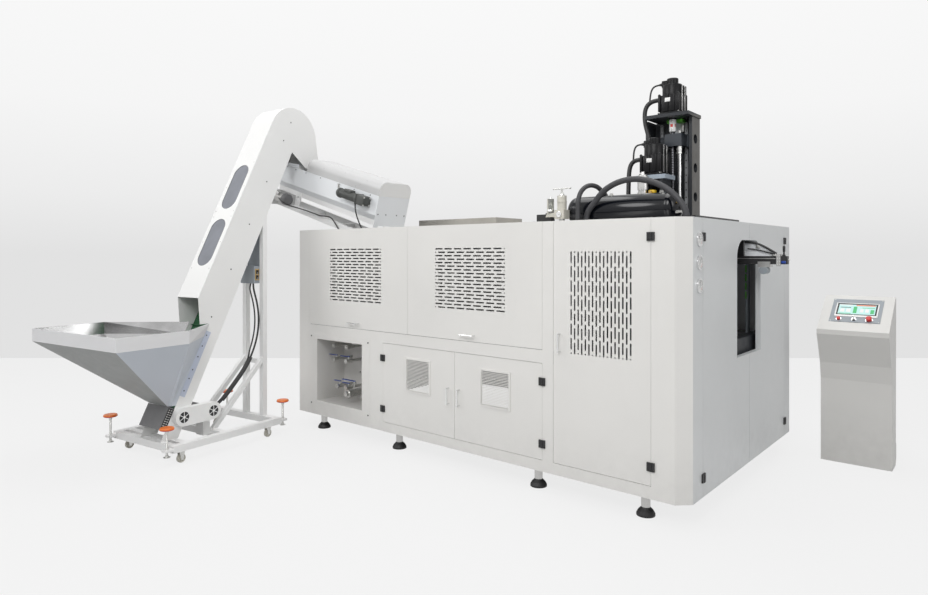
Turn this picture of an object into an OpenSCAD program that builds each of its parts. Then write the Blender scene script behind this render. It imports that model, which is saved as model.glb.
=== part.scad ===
// Linear blow moulding machine with its preform elevator, unscrambler and operator console.
// Millimetres. +X runs along the machine to its outlet end, +Y into its depth, +Z up.
// The origin is under the front foot that is nearest the outlet end, on the floor.

/* [Cabinet] */
// Length of the flat front, from the left end to the corner chamfer
cab_l = 3987; // [3900:1:4800]
// Depth from the front face to the rear face
cab_d = 2370; // [2350:1:2800]
// Height of the panels above the floor
cab_h = 2000; // [1960:1:2400]
// Height of the panels' lower edge above the floor
skirt_z = 151; // [120:1:180]
// Width of the chamfered front corner, in X and in Y
chamfer = 84; // [70:1:90]
// Thickness of the panel sheets
sheet = 3; // [2:0.5:4]
// Distance from a panel's inner face to the welded frame
standoff = 47; // [46:1:60]
// Side of the square frame tubes
tube = 80; // [70:1:90]
// How far the roof sheets lie below the top edge of the panels
roof_drop = 30; // [28:1:40]

/* [Doors] */
// Gap round a door
door_gap = 3; // [2:0.5:4]
// Depth of a door's folded edge
door_fold = 22; // [18:1:24]
// Distance from the blow door's hinge line to the chamfer
blow_margin = 163; // [150:1:200]
// Width of the blow door's opening
blow_w = 754; // [720:1:800]
// Height of the blow door's lower edge
blow_z = 235; // [232:1:300]
// Width of the post between the blow door and the other doors
post_w = 94; // [90:1:120]
// Width of one oven door's opening
oven_w = 1404; // [1200:1:1420]
// Height of the oven doors' lower edge
oven_z = 1050; // [1046:1:1100]
// Width of one lower door's opening
low_w = 861; // [800:1:900]
// Height of the lower doors' lower edge
low_z = 235; // [232:1:300]
// Height of the lower doors' opening
low_h = 718; // [600:1:720]
// Height of the outlet doors' hinges above their lower edge
end_hinge_in = 129; // [100:1:200]
// Distance of the first outlet door's hinge line from the front face
end_hinge_y = 257; // [240:1:300]
// Width of one outlet door's opening
end_w = 975; // [900:1:980]

/* [Vents] */
// Length of a vent slot
slot_l = 84; // [60:1:90]
// Width of a vent slot
slot_w = 12; // [8:1:14]
// Distance between slots in a row
slot_pitch = 103; // [100:1:120]
// Distance between rows of slots
row_pitch = 28.7; // [24:0.1:32]
// Slots in a row
slot_count = 7; // [5:1:7]
// Rows in an oven door's vent
oven_rows = 18; // [10:1:18]
// Rows in the blow door's vent
blow_rows = 17; // [10:1:17]
// Side of a louvred grille
louvre_side = 300; // [260:1:320]

/* [Outlet] */
// Distance of the outlet window from the front face
window_y = 940; // [900:1:980]
// Width of the outlet window
window_w = 576; // [520:1:600]
// Height of the window's lower edge above the floor
window_z = 990; // [960:1:1000]
// Height of the outlet window
window_h = 876; // [820:1:880]
// Radius of the window's upper corners
window_r = 140; // [100:1:160]

/* [Blow station] */
// Distance of the mould's centre line from the front face
mould_y = 1100; // [1090:1:1120]
// Travel of one mould half
mould_travel = 98; // [60:1:98]
// Radius of a tie bar
tie_r = 25; // [20:1:30]
// Height of the tower's top plate above the roof
tower_h = 910; // [890:1:980]
// Travel of the stretch carriage
stretch_travel = 450; // [300:1:450]
// Radius of the ball screw
screw_r = 16; // [12:1:20]
// Radius of the air tank
tank_r = 115; // [100:1:120]
// Length of the air tank
tank_l = 910; // [850:1:920]
// Length of the take-out rail outside the end doors
rail_out = 256; // [200:1:300]
// Radial clearance of shafts and pins in their bores
fit = 0.05; // [0.03:0.01:0.08]
// Gap between pieces that are welded or seated on each other
seat_gap = 0.3; // [0.2:0.1:0.5]

/* [Elevator] */
// Turn of the elevator against the machine, in degrees
elev_yaw = 7.7; // [7:0.1:8.5]
// Place of the head's joint along the machine
head_x = -3839.23; // [-3880:1:-3800]
// Place of the head's joint in depth
head_y = -31.27; // [-60:1:-20]
// Width of the elevator's base
base_w = 897; // [880:1:950]
// Length of the elevator's base
base_l = 1150; // [1150:1:1250]
// Side of the base tubes
base_tube = 60; // [50:1:70]
// Diameter of a castor wheel
wheel_d = 75; // [65:1:85]
// Width of a castor wheel
wheel_w = 28; // [22:1:34]
// Diameter of a jack's hand wheel
knob_d = 125; // [100:1:140]
// Height of a jack's hand wheel above the floor
knob_z = 334; // [300:1:360]
// Slope of the conveyor, in degrees
lift_angle = 63.74; // [63:0.1:64]
// Width of the conveyor's casing
lift_w = 300; // [280:1:320]
// Depth of the conveyor's side channels
channel_d = 144; // [140:1:160]
// Depth of the casing with its front cover
cover_d = 351; // [330:1:360]
// Height of the casing's top above the roof
head_h = 1292; // [1270:1:1310]
// Radius of the casing's rounded head
head_r = 310; // [300:1:320]
// Length of a casing window
oval_l = 490; // [400:1:500]
// Width of a casing window
oval_w = 200; // [160:1:220]
// Length of the hopper's rim across the conveyor
rim_w = 1268; // [1100:1:1300]
// Height of the hopper's rim above the floor
rim_z = 1131; // [1110:1:1150]
// Height of the hopper's upright band
rim_h = 108; // [80:1:120]

/* [Unscrambler] */
// Slope of the unscrambler, in degrees
chute_angle = 16.1; // [15.5:0.1:16.5]
// Length of the unscrambler's trough
chute_l = 1715; // [1700:1:1760]
// Width of the unscrambler's trough
chute_w = 400; // [360:1:420]
// Height of the trough's side plates
chute_h = 183; // [180:1:200]
// Length of the rounded cover
hood_l = 1143; // [1000:1:1150]
// Height of the rounded cover
hood_h = 135; // [110:1:150]
// Radius of a sorting roller
roller_r = 35; // [30:1:36]

/* [Console] */
// Width of the console
console_w = 518; // [480:1:560]
// Distance of the console's left side from the chamfer's start
console_x = 374; // [350:1:500]
// Distance of the console's front lip from the machine's front face
console_y = 2060; // [2040:1:2100]
// Height of the console's front lip
lip_z = 1130; // [1050:1:1180]
// Length of the sloping top
top_l = 450; // [420:1:480]
// Slope of the top, in degrees
top_angle = 36.7; // [30:0.1:40]

/* [Hidden] */
$fn = 48;

// Feet: their places along the front, and their distance from the front and rear faces
foot_in = 245;
foot_y = 100;
foot_x = [-foot_in, -1110, -2620, 277 - cab_l];
foot_rows = [foot_y, cab_d - foot_y];

// Frame faces
frame_in = sheet + standoff;
frame_x0 = frame_in - cab_l;
frame_x1 = chamfer - frame_in;
frame_y0 = frame_in;
frame_y1 = cab_d - frame_in;
roof_z = cab_h - roof_drop;
rail_top = roof_z - sheet;
mid_top = oven_z - 8;
base_top = skirt_z + tube;

// Door lines
blow_x1 = -blow_margin;
blow_x0 = blow_x1 - blow_w;
bay_x1 = blow_x0 - post_w;
oven_split = bay_x1 - oven_w;
oven_x0 = oven_split - oven_w;
low_split = bay_x1 - low_w;
low_x0 = low_split - low_w;
low_top = low_z + low_h;
end_split = end_hinge_y + end_w;
end_last = end_split + end_w;
press_post_x = (blow_x0 + bay_x1) / 2;

// Valve recess: its opening, its flange and its depth
recess_x0 = 287 - cab_l;
recess_w = 680;
recess_z0 = 290;
recess_h = 622;
recess_edge = 112;
recess_depth = 350;
valve_post_x = (recess_x0 + recess_w + recess_edge + low_x0) / 2;

// Hinges: the barrel stands off the panel, and the leaves straddle the door gap
hinge_h = 58;
hinge_leaf = 27;
hinge_out = 8;
hinge_t = 10;
barrel_r = 7;
pin_r = 4;
knuckle = 19;
top_pin_y = 36;
top_pin_z = cab_h - 16;
top_pin_r = 5;
top_barrel_r = 10;
ear_w = 30;
lug_w = 12;
ear_in = 220;

// Handles
handle_r = 6;
handle_out = 34;
handle_l = 128;

// Blow station
station_x = -463;
platen_x0 = station_x - 337;
platen_x1 = station_x + 323;
platen_z0 = 1060;
platen_z1 = 1600;
platen_t = 60;
mould_t = 135;
mould_gap = mould_travel + 2;
beam_top = 1100;
tie_z = [1150, 1510];
tie_x = [platen_x0 + 70, platen_x1 - 70];
screw_y = 1070;
rail_face_y = 1172;
tower_y1 = 1200;
tower_x0 = -690;
tower_x1 = -300;
tower_plate = 25;
pad_top = roof_z + 25;
tower_top = roof_z + tower_h;
carriage_z0 = tower_top - 255;
carriage_h = 100;
carriage_x0 = -610;
carriage_x1 = -360;
rod_x = -405;
rod_r = 16;
low_motor_x = -550;
low_motor_y = 920;
low_plate_z = roof_z + 380;
low_plate_t = 34;
motor_side = 180;
plug_l = 22;
plug_z = [140, 262];

// Oven: the chain's wheels, its two runs, and the lamp housings between the wheels
chain_x = [frame_x0 + tube + 520, press_post_x - 330];
chain_y = [685, mould_y];
chain_z = mid_top + 90;
chain_half = 14;
wheel_lead = 240;
oven_y = [500, 740];
oven_modules = 5;
lamp_count = 6;

// Take-out rail
rail_y = 1300;
rail_w = 60;
rail_z = 1681;
rail_x0 = press_post_x + tube / 2;
rail_x1 = chamfer + rail_out;
gripper_x = 180;

// Air side
tank_x1 = -160;
tank_y = 500;
tank_z = roof_z + tank_r + 8;
reg_x = -1028;
reg_y = 300;
reg_top = roof_z + 240;

// Elevator
base_bottom = wheel_d + 35;
base_z = base_bottom + base_tube;
rear_v = 302;
rear_z = 433;
lift_slope = tan(lift_angle);
lift_u = -350;
near_u = lift_u + lift_w / 2;
far_u = lift_u - lift_w / 2;
mouth_v = 389;
mouth_low = rim_z + 1;
head_z = roof_z + head_h;
hood_z = head_z - 602;
far_hood_z = hood_z + 85;
head_joint_v = rear_v + (hood_z + 144.482 - rear_z) / lift_slope;
hood_v0 = head_joint_v + 186;
hood_v1 = head_joint_v + 390;
elev_x = head_x + head_joint_v * sin(elev_yaw);
elev_y = head_y - head_joint_v * cos(elev_yaw);
castor_u = [-67, 67 - base_w];
castor_v = [112, base_l - 112];
axle_r = 5;
jack_u = [-30, 30 - base_w];
jack_v = [-42, base_l + 42];
jack_r = 10;
jack_foot_z = 85;
drum_r = 30;
drum_n = 65;
drum_s0 = -120;
drum_s1 = (head_z - rear_z) / sin(lift_angle) - 375;
belt_t = 3;
cleat_h = 25;
cleat_pitch = 250;
window_s = [1430, 2030];
post_v0 = 1095;
post_v1 = base_l - 5;
post_side = 50;

// Unscrambler
chute_x = -2852;
chute_y = 60;
chute_z = roof_z + 323;
roller_z = -128;
chute_turn = 60;
chute_low = chute_h + chute_turn;
low_rail_z = -455;
roller_gap = 32;
roller_y = [chute_w / 2 - roller_r - roller_gap / 2, chute_w / 2 + roller_r + roller_gap / 2];
roller_end = 30;
shaft_r = 12;
hood_pin_y = chute_w + 10;
hood_pin_z = 4;

// Valves: X, Z and lever length of each, from the left; the last is the big one
valve_y = 150;
valve_r = 20;
lever_len = [112, 124, 92, 90, 180];
valve_in = [123, 310, 178, 306, 394];
valve_x = [for (v = valve_in) recess_x0 + v];
valve_z = [700, 700, 440, 440, 400];
lever_z = [742, 742, 487, 480, 512];

// Console
plate_w = 370;
plate_l = 290;
plate_d0 = 105;
plate_t = 4;
button_d = 138;
button_x = [143, 254, 364];
bezel_x = [105, 418];
bezel_d = [168, 340];

// Cord routes, in the order in which they run
long_route = [
    [-840, 342, 1990], [-840, 342, 2035], [-820, 342, 2090], [-774, 345, 2142], [-738, 346, 2187],
    [-694, 347, 2231], [-636, 348, 2266], [-567, 350, 2292], [-496, 352, 2303], [-430, 354, 2302],
    [-363, 356, 2290], [-299, 358, 2268], [-238, 360, 2238], [-185, 362, 2200], [-137, 364, 2154],
    [-100, 366, 2106], [-70, 367, 2045], [-70, 367, 1990]
];
short_route = [
    [-880, 290, 1990], [-880, 290, 2050], [-880, 290, 2110], [-880, 290, 2150], [-876, 300, 2203],
    [-867, 329, 2249], [-852, 372, 2280], [-834, 423, 2290], [-817, 474, 2280], [-805, 509, 2257],
    [-797, 533, 2230]
];
upper_conduit = [
    [-575, 1070, 3020], [-600, 1070, 3020], [-640, 1066, 3014], [-672, 1058, 2992], [-688, 1050, 2955],
    [-692, 1044, 2910], [-688, 1040, 2862], [-678, 1037, 2810], [-662, 1035, 2760], [-649, 1034, 2705],
    [-645, 1034, 2640], [-645, 1034, 2500], [-645, 1034, 2300], [-645, 1034, 2120], [-645, 1034, 1995]
];
lower_conduit = [
    [-662, 920, 2524], [-695, 920, 2524], [-731, 918, 2514], [-753, 912, 2486], [-761, 905, 2440],
    [-763, 900, 2380], [-763, 895, 2300], [-763, 892, 2200], [-763, 890, 2090], [-763, 890, 1970]
];
upper_lead = [
    [-575, 1070, 3142], [-600, 1070, 3142], [-630, 1069, 3130], [-646, 1067, 3100], [-652, 1064, 3060],
    [-656, 1062, 3010]
];
lower_lead = [
    [-662, 920, 2646], [-688, 920, 2646], [-712, 920, 2634], [-725, 919, 2604], [-730, 918, 2560],
    [-732, 918, 2516]
];
side_cable = [
    [-3128, 8, 2245.5], [-3128, 8, 2222], [-3126, 10, 2170], [-3120, 24, 2110], [-3112, 44, 2055],
    [-3106, 64, 2012], [-3104, 70, 1988], [-3104, 70, 1970]
];
lift_cable = [
    [-300, 1060, 1470], [-300, 1060, 1430], [-292, 1070, 1370], [-276, 1080, 1300], [-262, 1084, 1230],
    [-254, 1086, 1160], [-250, 1084, 1090], [-250, 1078, 1020], [-252, 1066, 950], [-258, 1050, 880],
    [-266, 1030, 815], [-273, 1003, 750], [-276, 968, 690], [-276, 925, 635], [-276, 875, 582],
    [-276, 825, 532], [-276, 775, 482], [-276, 725, 434], [-276, 680, 394], [-278, 635, 364],
    [-284, 595, 350], [-292, 565, 345], [-292, 540, 345]
];
long_hose_r = 22;
short_hose_r = 18;
conduit_r = 18;
lead_r = 6;
lift_cable_r = 9;

// Solid between two corners, given as a range on each axis
module bar(x, y, z) translate([x[0], y[0], z[0]]) cube([x[1] - x[0], y[1] - y[0], z[1] - z[0]]);
module rod_x(x, y, z, r) translate([x[0], y, z]) rotate([0, 90, 0]) cylinder(r = r, h = x[1] - x[0]);
module rod_y(x, y, z, r) translate([x, y[0], z]) rotate([-90, 0, 0]) cylinder(r = r, h = y[1] - y[0]);
module rod_z(x, y, z, r) translate([x, y, z[0]]) cylinder(r = r, h = z[1] - z[0]);

// Sheet parallel to the front face, from depth y0, drawn in X and Z
module on_front(y0, t) translate([0, y0 + t, 0]) rotate([90, 0, 0]) linear_extrude(t) children();

// Sheet parallel to the end face, from x0, drawn in Y and Z
module on_end(x0, t) translate([x0, 0, 0]) rotate([90, 0, 90]) linear_extrude(t) children();

// Flat rectangle between two ranges, and its outline of a given width
module rect(a, b) translate([a[0], b[0]]) square([a[1] - a[0], b[1] - b[0]]);
module outline(a, b, t) {
    difference() {
        rect(a, b);
        rect([a[0] + t, a[1] - t], [b[0] + t, b[1] - t]);
    }
}

// Polygon set in by t on every side; its points run anticlockwise
function turned(v) = [-v[1], v[0]];
function inset(p, t) = [
    for (i = [0:len(p) - 1])
        let (
            a = turned(unit(p[i] - p[(i + len(p) - 1) % len(p)])),
            b = turned(unit(p[(i + 1) % len(p)] - p[i]))
        ) p[i] + t / (1 + a * b) * (a + b)
];

// Obround with flat-sided ends, along X
function slot_points(l, w) = concat(
    [for (a = [-90:45:90]) [(l - w) / 2 + w / 2 * cos(a), w / 2 * sin(a)]],
    [for (a = [90:45:270]) [(w - l) / 2 + w / 2 * cos(a), w / 2 * sin(a)]]
);
vent_l = slot_w + (slot_pitch - slot_l) + (slot_count - 1) * slot_pitch + slot_l;

// One row of a vent: a short hole and then the slots
module vent_row() {
    translate([slot_w / 2, 0]) circle(d = slot_w, $fn = 8);
    for (i = [0:slot_count - 1])
        translate([slot_w + slot_pitch - slot_l / 2 + i * slot_pitch, 0])
            polygon(slot_points(slot_l, slot_w));
}

// Rows of slots, each second row turned end for end, centred on the origin
module vent(rows) {
    for (i = [0:rows - 1])
        translate([0, (i - (rows - 1) / 2) * row_pitch])
            rotate(i % 2 == 0 ? 0 : 180) translate([-vent_l / 2, 0]) vent_row();
}

// Tube swept along a route, with a ring at each of its points
function unit(v) = v / norm(v);
function route_dir(p, i) = unit(p[min(i + 1, len(p) - 1)] - p[max(i - 1, 0)]);
function ring(c, d, side, r, n) = [
    for (k = [0:n - 1]) c + r * (cos(360 * k / n) * unit(cross(side, d)) + sin(360 * k / n)
        * unit(cross(d, cross(side, d))))
];
module tube_along(p, r, side, n = 10) {
    points = [for (i = [0:len(p) - 1]) each ring(p[i], route_dir(p, i), side, r, n)];
    walls = [
        for (i = [0:len(p) - 2]) for (k = [0:n - 1])
            [i * n + k, (i + 1) * n + k, (i + 1) * n + (k + 1) % n, i * n + (k + 1) % n]
    ];
    ends = [[for (k = [0:n - 1]) k], [for (k = [n - 1:-1:0]) (len(p) - 1) * n + k]];
    polyhedron(points, concat(walls, ends));
}

// Places
module at_datum() translate([foot_in, -foot_y, 0]) children();
module at_elevator() translate([elev_x, elev_y, 0]) rotate(elev_yaw) children();
module at_chute() translate([chute_x, chute_y, chute_z]) rotate([0, chute_angle, 0]) children();

// Frame along the conveyor: x across it, -y from its rear plate to the front, z up the slope
module at_lift() {
    at_elevator() translate([0, rear_v, rear_z]) rotate([lift_angle - 90, 0, 0]) children();
}

// Plate across the conveyor's width, drawn in the elevator's depth and height
module on_lift(u0, t) at_elevator() on_end(u0, t) children();

// Hinge on an upright edge, with its fixed leaf to +X of the pin
module hinge_fixed() {
    bar([barrel_r + 1.5, hinge_leaf], [-hinge_t, 0], [-hinge_h / 2, hinge_h / 2]);
    for (z = [-hinge_h / 2, hinge_h / 2 - knuckle]) {
        bar([0, barrel_r + 2], [-hinge_out - 4, -3], [z, z + knuckle]);
        rod_z(0, -hinge_out, [z, z + knuckle], barrel_r);
    }
    rod_z(0, -hinge_out, [-hinge_h / 2, hinge_h / 2], pin_r);
}

// The moving leaf of the same hinge
module hinge_moving() {
    mid = hinge_h / 2 - knuckle - 0.5;
    bar([-hinge_leaf, -barrel_r - 1.5], [-hinge_t, 0], [-hinge_h / 2, hinge_h / 2]);
    difference() {
        union() {
            bar([-barrel_r - 2, 0], [-hinge_out - 4, -3], [-mid, mid]);
            rod_z(0, -hinge_out, [-mid, mid], barrel_r);
        }
        rod_z(0, -hinge_out, [-mid - 1, mid + 1], pin_r + fit);
    }
}

// Bow handle on the front face, along X or along Z
module handle_x(x, z) {
    for (s = [-1, 1]) rod_y(x + s * handle_l / 2, [-handle_out, 0], z, handle_r);
    rod_x([x - handle_l / 2 - handle_r, x + handle_l / 2 + handle_r], -handle_out, z, handle_r);
}
module handle_z(x, z) {
    for (s = [-1, 1]) rod_y(x, [-handle_out, 0], z + s * handle_l / 2, handle_r);
    rod_z(x, -handle_out, [z - handle_l / 2 - handle_r, z + handle_l / 2 + handle_r], handle_r);
}

// Folded sheet door in the front face, between two gap lines, with cut-outs as children
module front_door(x, z) {
    on_front(0, sheet) difference() {
        rect(x, z);
        children();
    }
    on_front(sheet, door_fold) outline(x, z, sheet);
}

// The frame is welded from square tubes, each a solid of its own, with a gap at each weld
module machine_frame() color("dimgray") {
    g = seat_gap;
    posts = [frame_x0, press_post_x - tube / 2, frame_x1 - tube];
    span_y = [frame_y0 + tube + g, frame_y1 - tube - g];
    mid_z = [mid_top - tube, mid_top];
    left_x = [frame_x0 + tube + g, press_post_x - tube / 2 - g];
    right_x = [press_post_x + tube / 2 + g, frame_x1 - tube - g];
    for (z = [skirt_z, rail_top - tube]) {
        for (y = [frame_y0, frame_y1 - tube]) bar([frame_x0, frame_x1], [y, y + tube], [z, z + tube]);
        for (x = posts) bar([x, x + tube], span_y, [z, z + tube]);
    }
    for (x = posts, y = [frame_y0, frame_y1 - tube])
        bar([x, x + tube], [y, y + tube], [base_top + g, rail_top - tube - g]);
    bar(left_x, [frame_y0, frame_y0 + tube], mid_z);
    for (x = [left_x, right_x]) bar(x, [frame_y1 - tube, frame_y1], mid_z);
    for (x = [frame_x0, valve_post_x - tube / 2, press_post_x - tube / 2]) bar([x, x + tube], span_y, mid_z);
    bar([valve_post_x - tube / 2, valve_post_x + tube / 2], [frame_y0, frame_y0 + tube],
        [base_top + g, mid_z[0] - g]);
    for (y = [mould_y - 520, mould_y + 440]) bar([right_x[0], platen_x1 + 60], [y, y + tube], mid_z);
}

module levelling_feet() color([0.1, 0.1, 0.1]) {
    for (x = foot_x, y = foot_rows) translate([x, y, 0]) rotate_extrude()
        polygon([[0, 0], [63, 0], [63, 14], [52, 34], [36, 50], [31, 58], [31, skirt_z], [0, skirt_z]]);
}

// Round holes for the gauges, at their places on the end strip
gauge_z = [1856, 1703, 1553];
gauge_y = 181;
gauge_r = 42;

module front_panel() color("whitesmoke") {
    strip = sheet * tan(22.5);
    difference() {
        union() {
            on_front(0, sheet) difference() {
                rect([-cab_l, blow_x1 + 3], [skirt_z, cab_h]);
                rect([oven_x0, bay_x1], [oven_z, cab_h + 1]);
                rect([low_x0, bay_x1], [low_z, low_top]);
                rect([blow_x0, blow_x1], [blow_z, cab_h + 1]);
                rect([recess_x0, recess_x0 + recess_w], [recess_z0, recess_z0 + recess_h]);
            }
            translate([0, 0, skirt_z]) linear_extrude(cab_h - skirt_z) polygon([
                [blow_x1, 0], [0, 0], [chamfer, chamfer], [chamfer, end_hinge_y - door_gap / 2],
                [chamfer - sheet, end_hinge_y - door_gap / 2], [chamfer - sheet, chamfer + strip],
                [-strip, sheet], [blow_x1, sheet]
            ]);
            for (x = [oven_x0 - sheet, bay_x1, blow_x0 - sheet, blow_x1])
                bar([x, x + sheet], [sheet, frame_y0], [oven_z, cab_h]);
            for (x = [low_x0 - sheet, bay_x1, blow_x0 - sheet, blow_x1])
                bar([x, x + sheet], [sheet, frame_y0], [low_z, low_top]);
            bar([low_x0 - sheet, bay_x1 + sheet], [sheet, frame_y0], [low_z - sheet, low_z]);
            bar([blow_x0 - sheet, blow_x1 + sheet], [sheet, frame_y0], [blow_z - sheet, blow_z]);
            bar([-cab_l + 60, -cab_l + 60 + sheet], [sheet, frame_y0], [skirt_z, cab_h]);
        }
        for (z = gauge_z) rod_x([0, chamfer + 1], gauge_y, z, gauge_r + 0.5);
    }
    // Recess for the service valves: a flange on the face and a folded box behind it
    on_front(-2, 2) difference() {
        rect([recess_x0 - recess_edge, recess_x0 + recess_w + recess_edge], [low_z, low_z + 725]);
        rect([recess_x0, recess_x0 + recess_w], [recess_z0, recess_z0 + recess_h]);
    }
    difference() {
        bar([recess_x0, recess_x0 + recess_w], [0, recess_depth], [recess_z0, recess_z0 + recess_h]);
        bar([recess_x0 + sheet, recess_x0 + recess_w - sheet], [-1, recess_depth - sheet],
            [recess_z0 + sheet, recess_z0 + recess_h - sheet]);
    }
}

module cover_panels() color("gainsboro") {
    panel_top = cab_h;
    // Left end
    bar([-cab_l, sheet - cab_l], [sheet, cab_d - sheet], [skirt_z, panel_top]);
    for (y = [frame_y0 + 20, cab_d / 2, frame_y1 - 20])
        bar([sheet - cab_l, frame_x0], [y, y + sheet], [skirt_z + 20, roof_z - 20]);
    // Rear, in three panels
    third = (cab_l + chamfer) / 3;
    for (i = [0:2]) {
        x0 = -cab_l + i * third + (i == 0 ? 0 : door_gap);
        x1 = -cab_l + (i + 1) * third;
        bar([x0, x1], [cab_d - sheet, cab_d], [skirt_z, panel_top]);
        for (x = [x0 + 120, x1 - 120])
            bar([x, x + sheet], [frame_y1, cab_d - sheet], [skirt_z + 20, roof_z - 20]);
    }
    // Strip between the rear outlet door and the rear panel
    bar([chamfer - sheet, chamfer], [end_last + door_gap / 2, cab_d - sheet], [skirt_z, panel_top]);
    bar([frame_x1, chamfer - sheet], [frame_y1 - sheet, frame_y1], [skirt_z + 20, roof_z - 20]);
    // Roof, in two sheets, with holes for the preforms and under the press tower
    roof_x1 = chamfer - sheet - door_fold - 5;
    difference() {
        bar([sheet - cab_l, oven_split], [frame_y0, cab_d - sheet], [rail_top, roof_z]);
        bar([chute_x - 260, chute_x - 110], [chute_y + 130, chute_y + 270], [rail_top - 1, roof_z + 1]);
    }
    difference() {
        translate([0, 0, rail_top]) linear_extrude(sheet) polygon([
            [oven_split + door_gap, frame_y0], [frame_y0 - 6, frame_y0], [roof_x1, roof_x1 + 6],
            [roof_x1, cab_d - sheet], [oven_split + door_gap, cab_d - sheet]
        ]);
        bar([tower_x0 + 60, tower_x1 - 40], [screw_y - 40, screw_y + 60], [rail_top - 1, roof_z + 1]);
    }
}

// Low stainless cowl over the oven's air outlet
module roof_cowl() color("silver") {
    difference() {
        bar([-2860, -1900], [600, 1000], [roof_z, roof_z + 118]);
        bar([-2857, -1903], [603, 997], [roof_z - 1, roof_z + 115]);
    }
}

// Places of the black hinges: hinge line and heights
low_hinge_z = [low_z + 122, low_z + 582];
blow_hinge_z = [blow_z + 129, cab_h - 125];
end_hinge_z = [skirt_z + end_hinge_in, cab_h - 127];
module end_hinge(y, z, flip) {
    translate([chamfer, y, z]) rotate(90) mirror([flip, 0, 0]) children();
}

module door_hinges() color([0.08, 0.08, 0.08]) {
    for (z = low_hinge_z) {
        translate([bay_x1, 0, z]) hinge_fixed();
        translate([low_x0, 0, z]) mirror([1, 0, 0]) hinge_fixed();
    }
    for (z = blow_hinge_z) translate([blow_x1, 0, z]) hinge_fixed();
    for (z = end_hinge_z) {
        end_hinge(end_hinge_y, z, 1) hinge_fixed();
        end_hinge(end_last, z, 0) hinge_fixed();
    }
    // Brackets and pins of the oven doors, on the frame's upper rail
    for (d = [0, 1], s = [0, 1]) {
        x = oven_x0 + d * oven_w + (s == 0 ? ear_in : oven_w - ear_in);
        for (k = [-1, 1]) translate([x + k * (ear_w + lug_w + 2) / 2 - lug_w / 2, 0, 0]) {
            rod_x([0, lug_w], top_pin_y, top_pin_z, top_barrel_r);
            bar([0, lug_w], [top_pin_y, frame_y0], [top_pin_z - 40, top_pin_z + 6]);
        }
        rod_x([x - ear_w / 2 - lug_w, x + ear_w / 2 + lug_w], top_pin_y, top_pin_z, top_pin_r);
    }
}

// Upward-hinged oven door with a vent and its two hinge ears
module oven_door(x0) {
    x = [x0 + door_gap / 2, x0 + oven_w - door_gap / 2];
    z = [oven_z + door_gap, cab_h];
    front_door(x, z) translate([x0 + oven_w / 2 - 8, oven_z + 508]) vent(oven_rows);
    for (e = [x0 + ear_in, x0 + oven_w - ear_in]) difference() {
        union() {
            bar([e - ear_w / 2, e + ear_w / 2], [12, 24], [top_pin_z - 6, cab_h - 1]);
            bar([e - ear_w / 2, e + ear_w / 2], [12, top_pin_y], [top_pin_z - 6, top_pin_z + 6]);
            rod_x([e - ear_w / 2, e + ear_w / 2], top_pin_y, top_pin_z, top_barrel_r);
        }
        rod_x([e - ear_w, e + ear_w], top_pin_y, top_pin_z, top_pin_r + fit);
    }
    handle_x(x0 + oven_w / 2 - 10, oven_z + 53);
}
module oven_door_left() color("whitesmoke") oven_door(oven_x0);
module oven_door_right() color("whitesmoke") oven_door(oven_split);

// Louvred grille: a frame with sloping slats, on the face of a door
module louvre(x, z) {
    slat = 12;
    half = louvre_side / 2;
    on_front(-8, 8) difference() {
        rect([x - half, x + half], [z - half, z + half]);
        rect([x - half + 14, x + half - 14], [z - half + 14, z + half - 14]);
    }
    for (i = [0:round(louvre_side / slat) - 4])
        translate([x - half + 12, -5, z - half + 18 + i * slat]) rotate([35, 0, 0])
            cube([louvre_side - 24, 8, 2]);
}

// Lower door: s = 1 for the hinge on the right, -1 for the hinge on the left
module cabinet_door(x0, s) {
    x = [x0 + door_gap / 2, x0 + low_w - door_gap / 2];
    louvre_x = x0 + low_w / 2 - s * 10;
    louvre_z = low_z + 465;
    half = louvre_side / 2 - 20;
    front_door(x, [low_z + door_gap, low_top - door_gap])
        rect([louvre_x - half, louvre_x + half], [louvre_z - half, louvre_z + half]);
    louvre(louvre_x, louvre_z);
    handle_z(x0 + (s > 0 ? 55 : low_w - 60), low_z + 349);
    for (z = low_hinge_z)
        translate([s > 0 ? bay_x1 : low_x0, 0, z]) mirror([s > 0 ? 0 : 1, 0, 0]) hinge_moving();
}
module cabinet_door_left() color("whitesmoke") cabinet_door(low_x0, -1);
module cabinet_door_right() color("whitesmoke") cabinet_door(low_split, 1);

module blow_door() color("whitesmoke") {
    front_door([blow_x0 + door_gap, blow_x1 - door_gap / 2], [blow_z + door_gap, cab_h])
        translate([blow_x0 + blow_w / 2 + 4, blow_z + 1177]) rotate(90) vent(blow_rows);
    handle_z(blow_x0 + 60, blow_z + 882);
    for (z = blow_hinge_z) translate([blow_x1, 0, z]) hinge_moving();
}

// Outline of the outlet window, grown by t
module window_shape(t) {
    y0 = window_y - t;
    y1 = window_y + window_w + t;
    z1 = window_z + window_h + t;
    r = window_r + t;
    rect([y0, y1], [window_z - t, z1 - r]);
    rect([y0 + r, y1 - r], [window_z - t, z1]);
    translate([y0 + r, z1 - r]) circle(r);
    translate([y1 - r, z1 - r]) circle(r);
}

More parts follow.
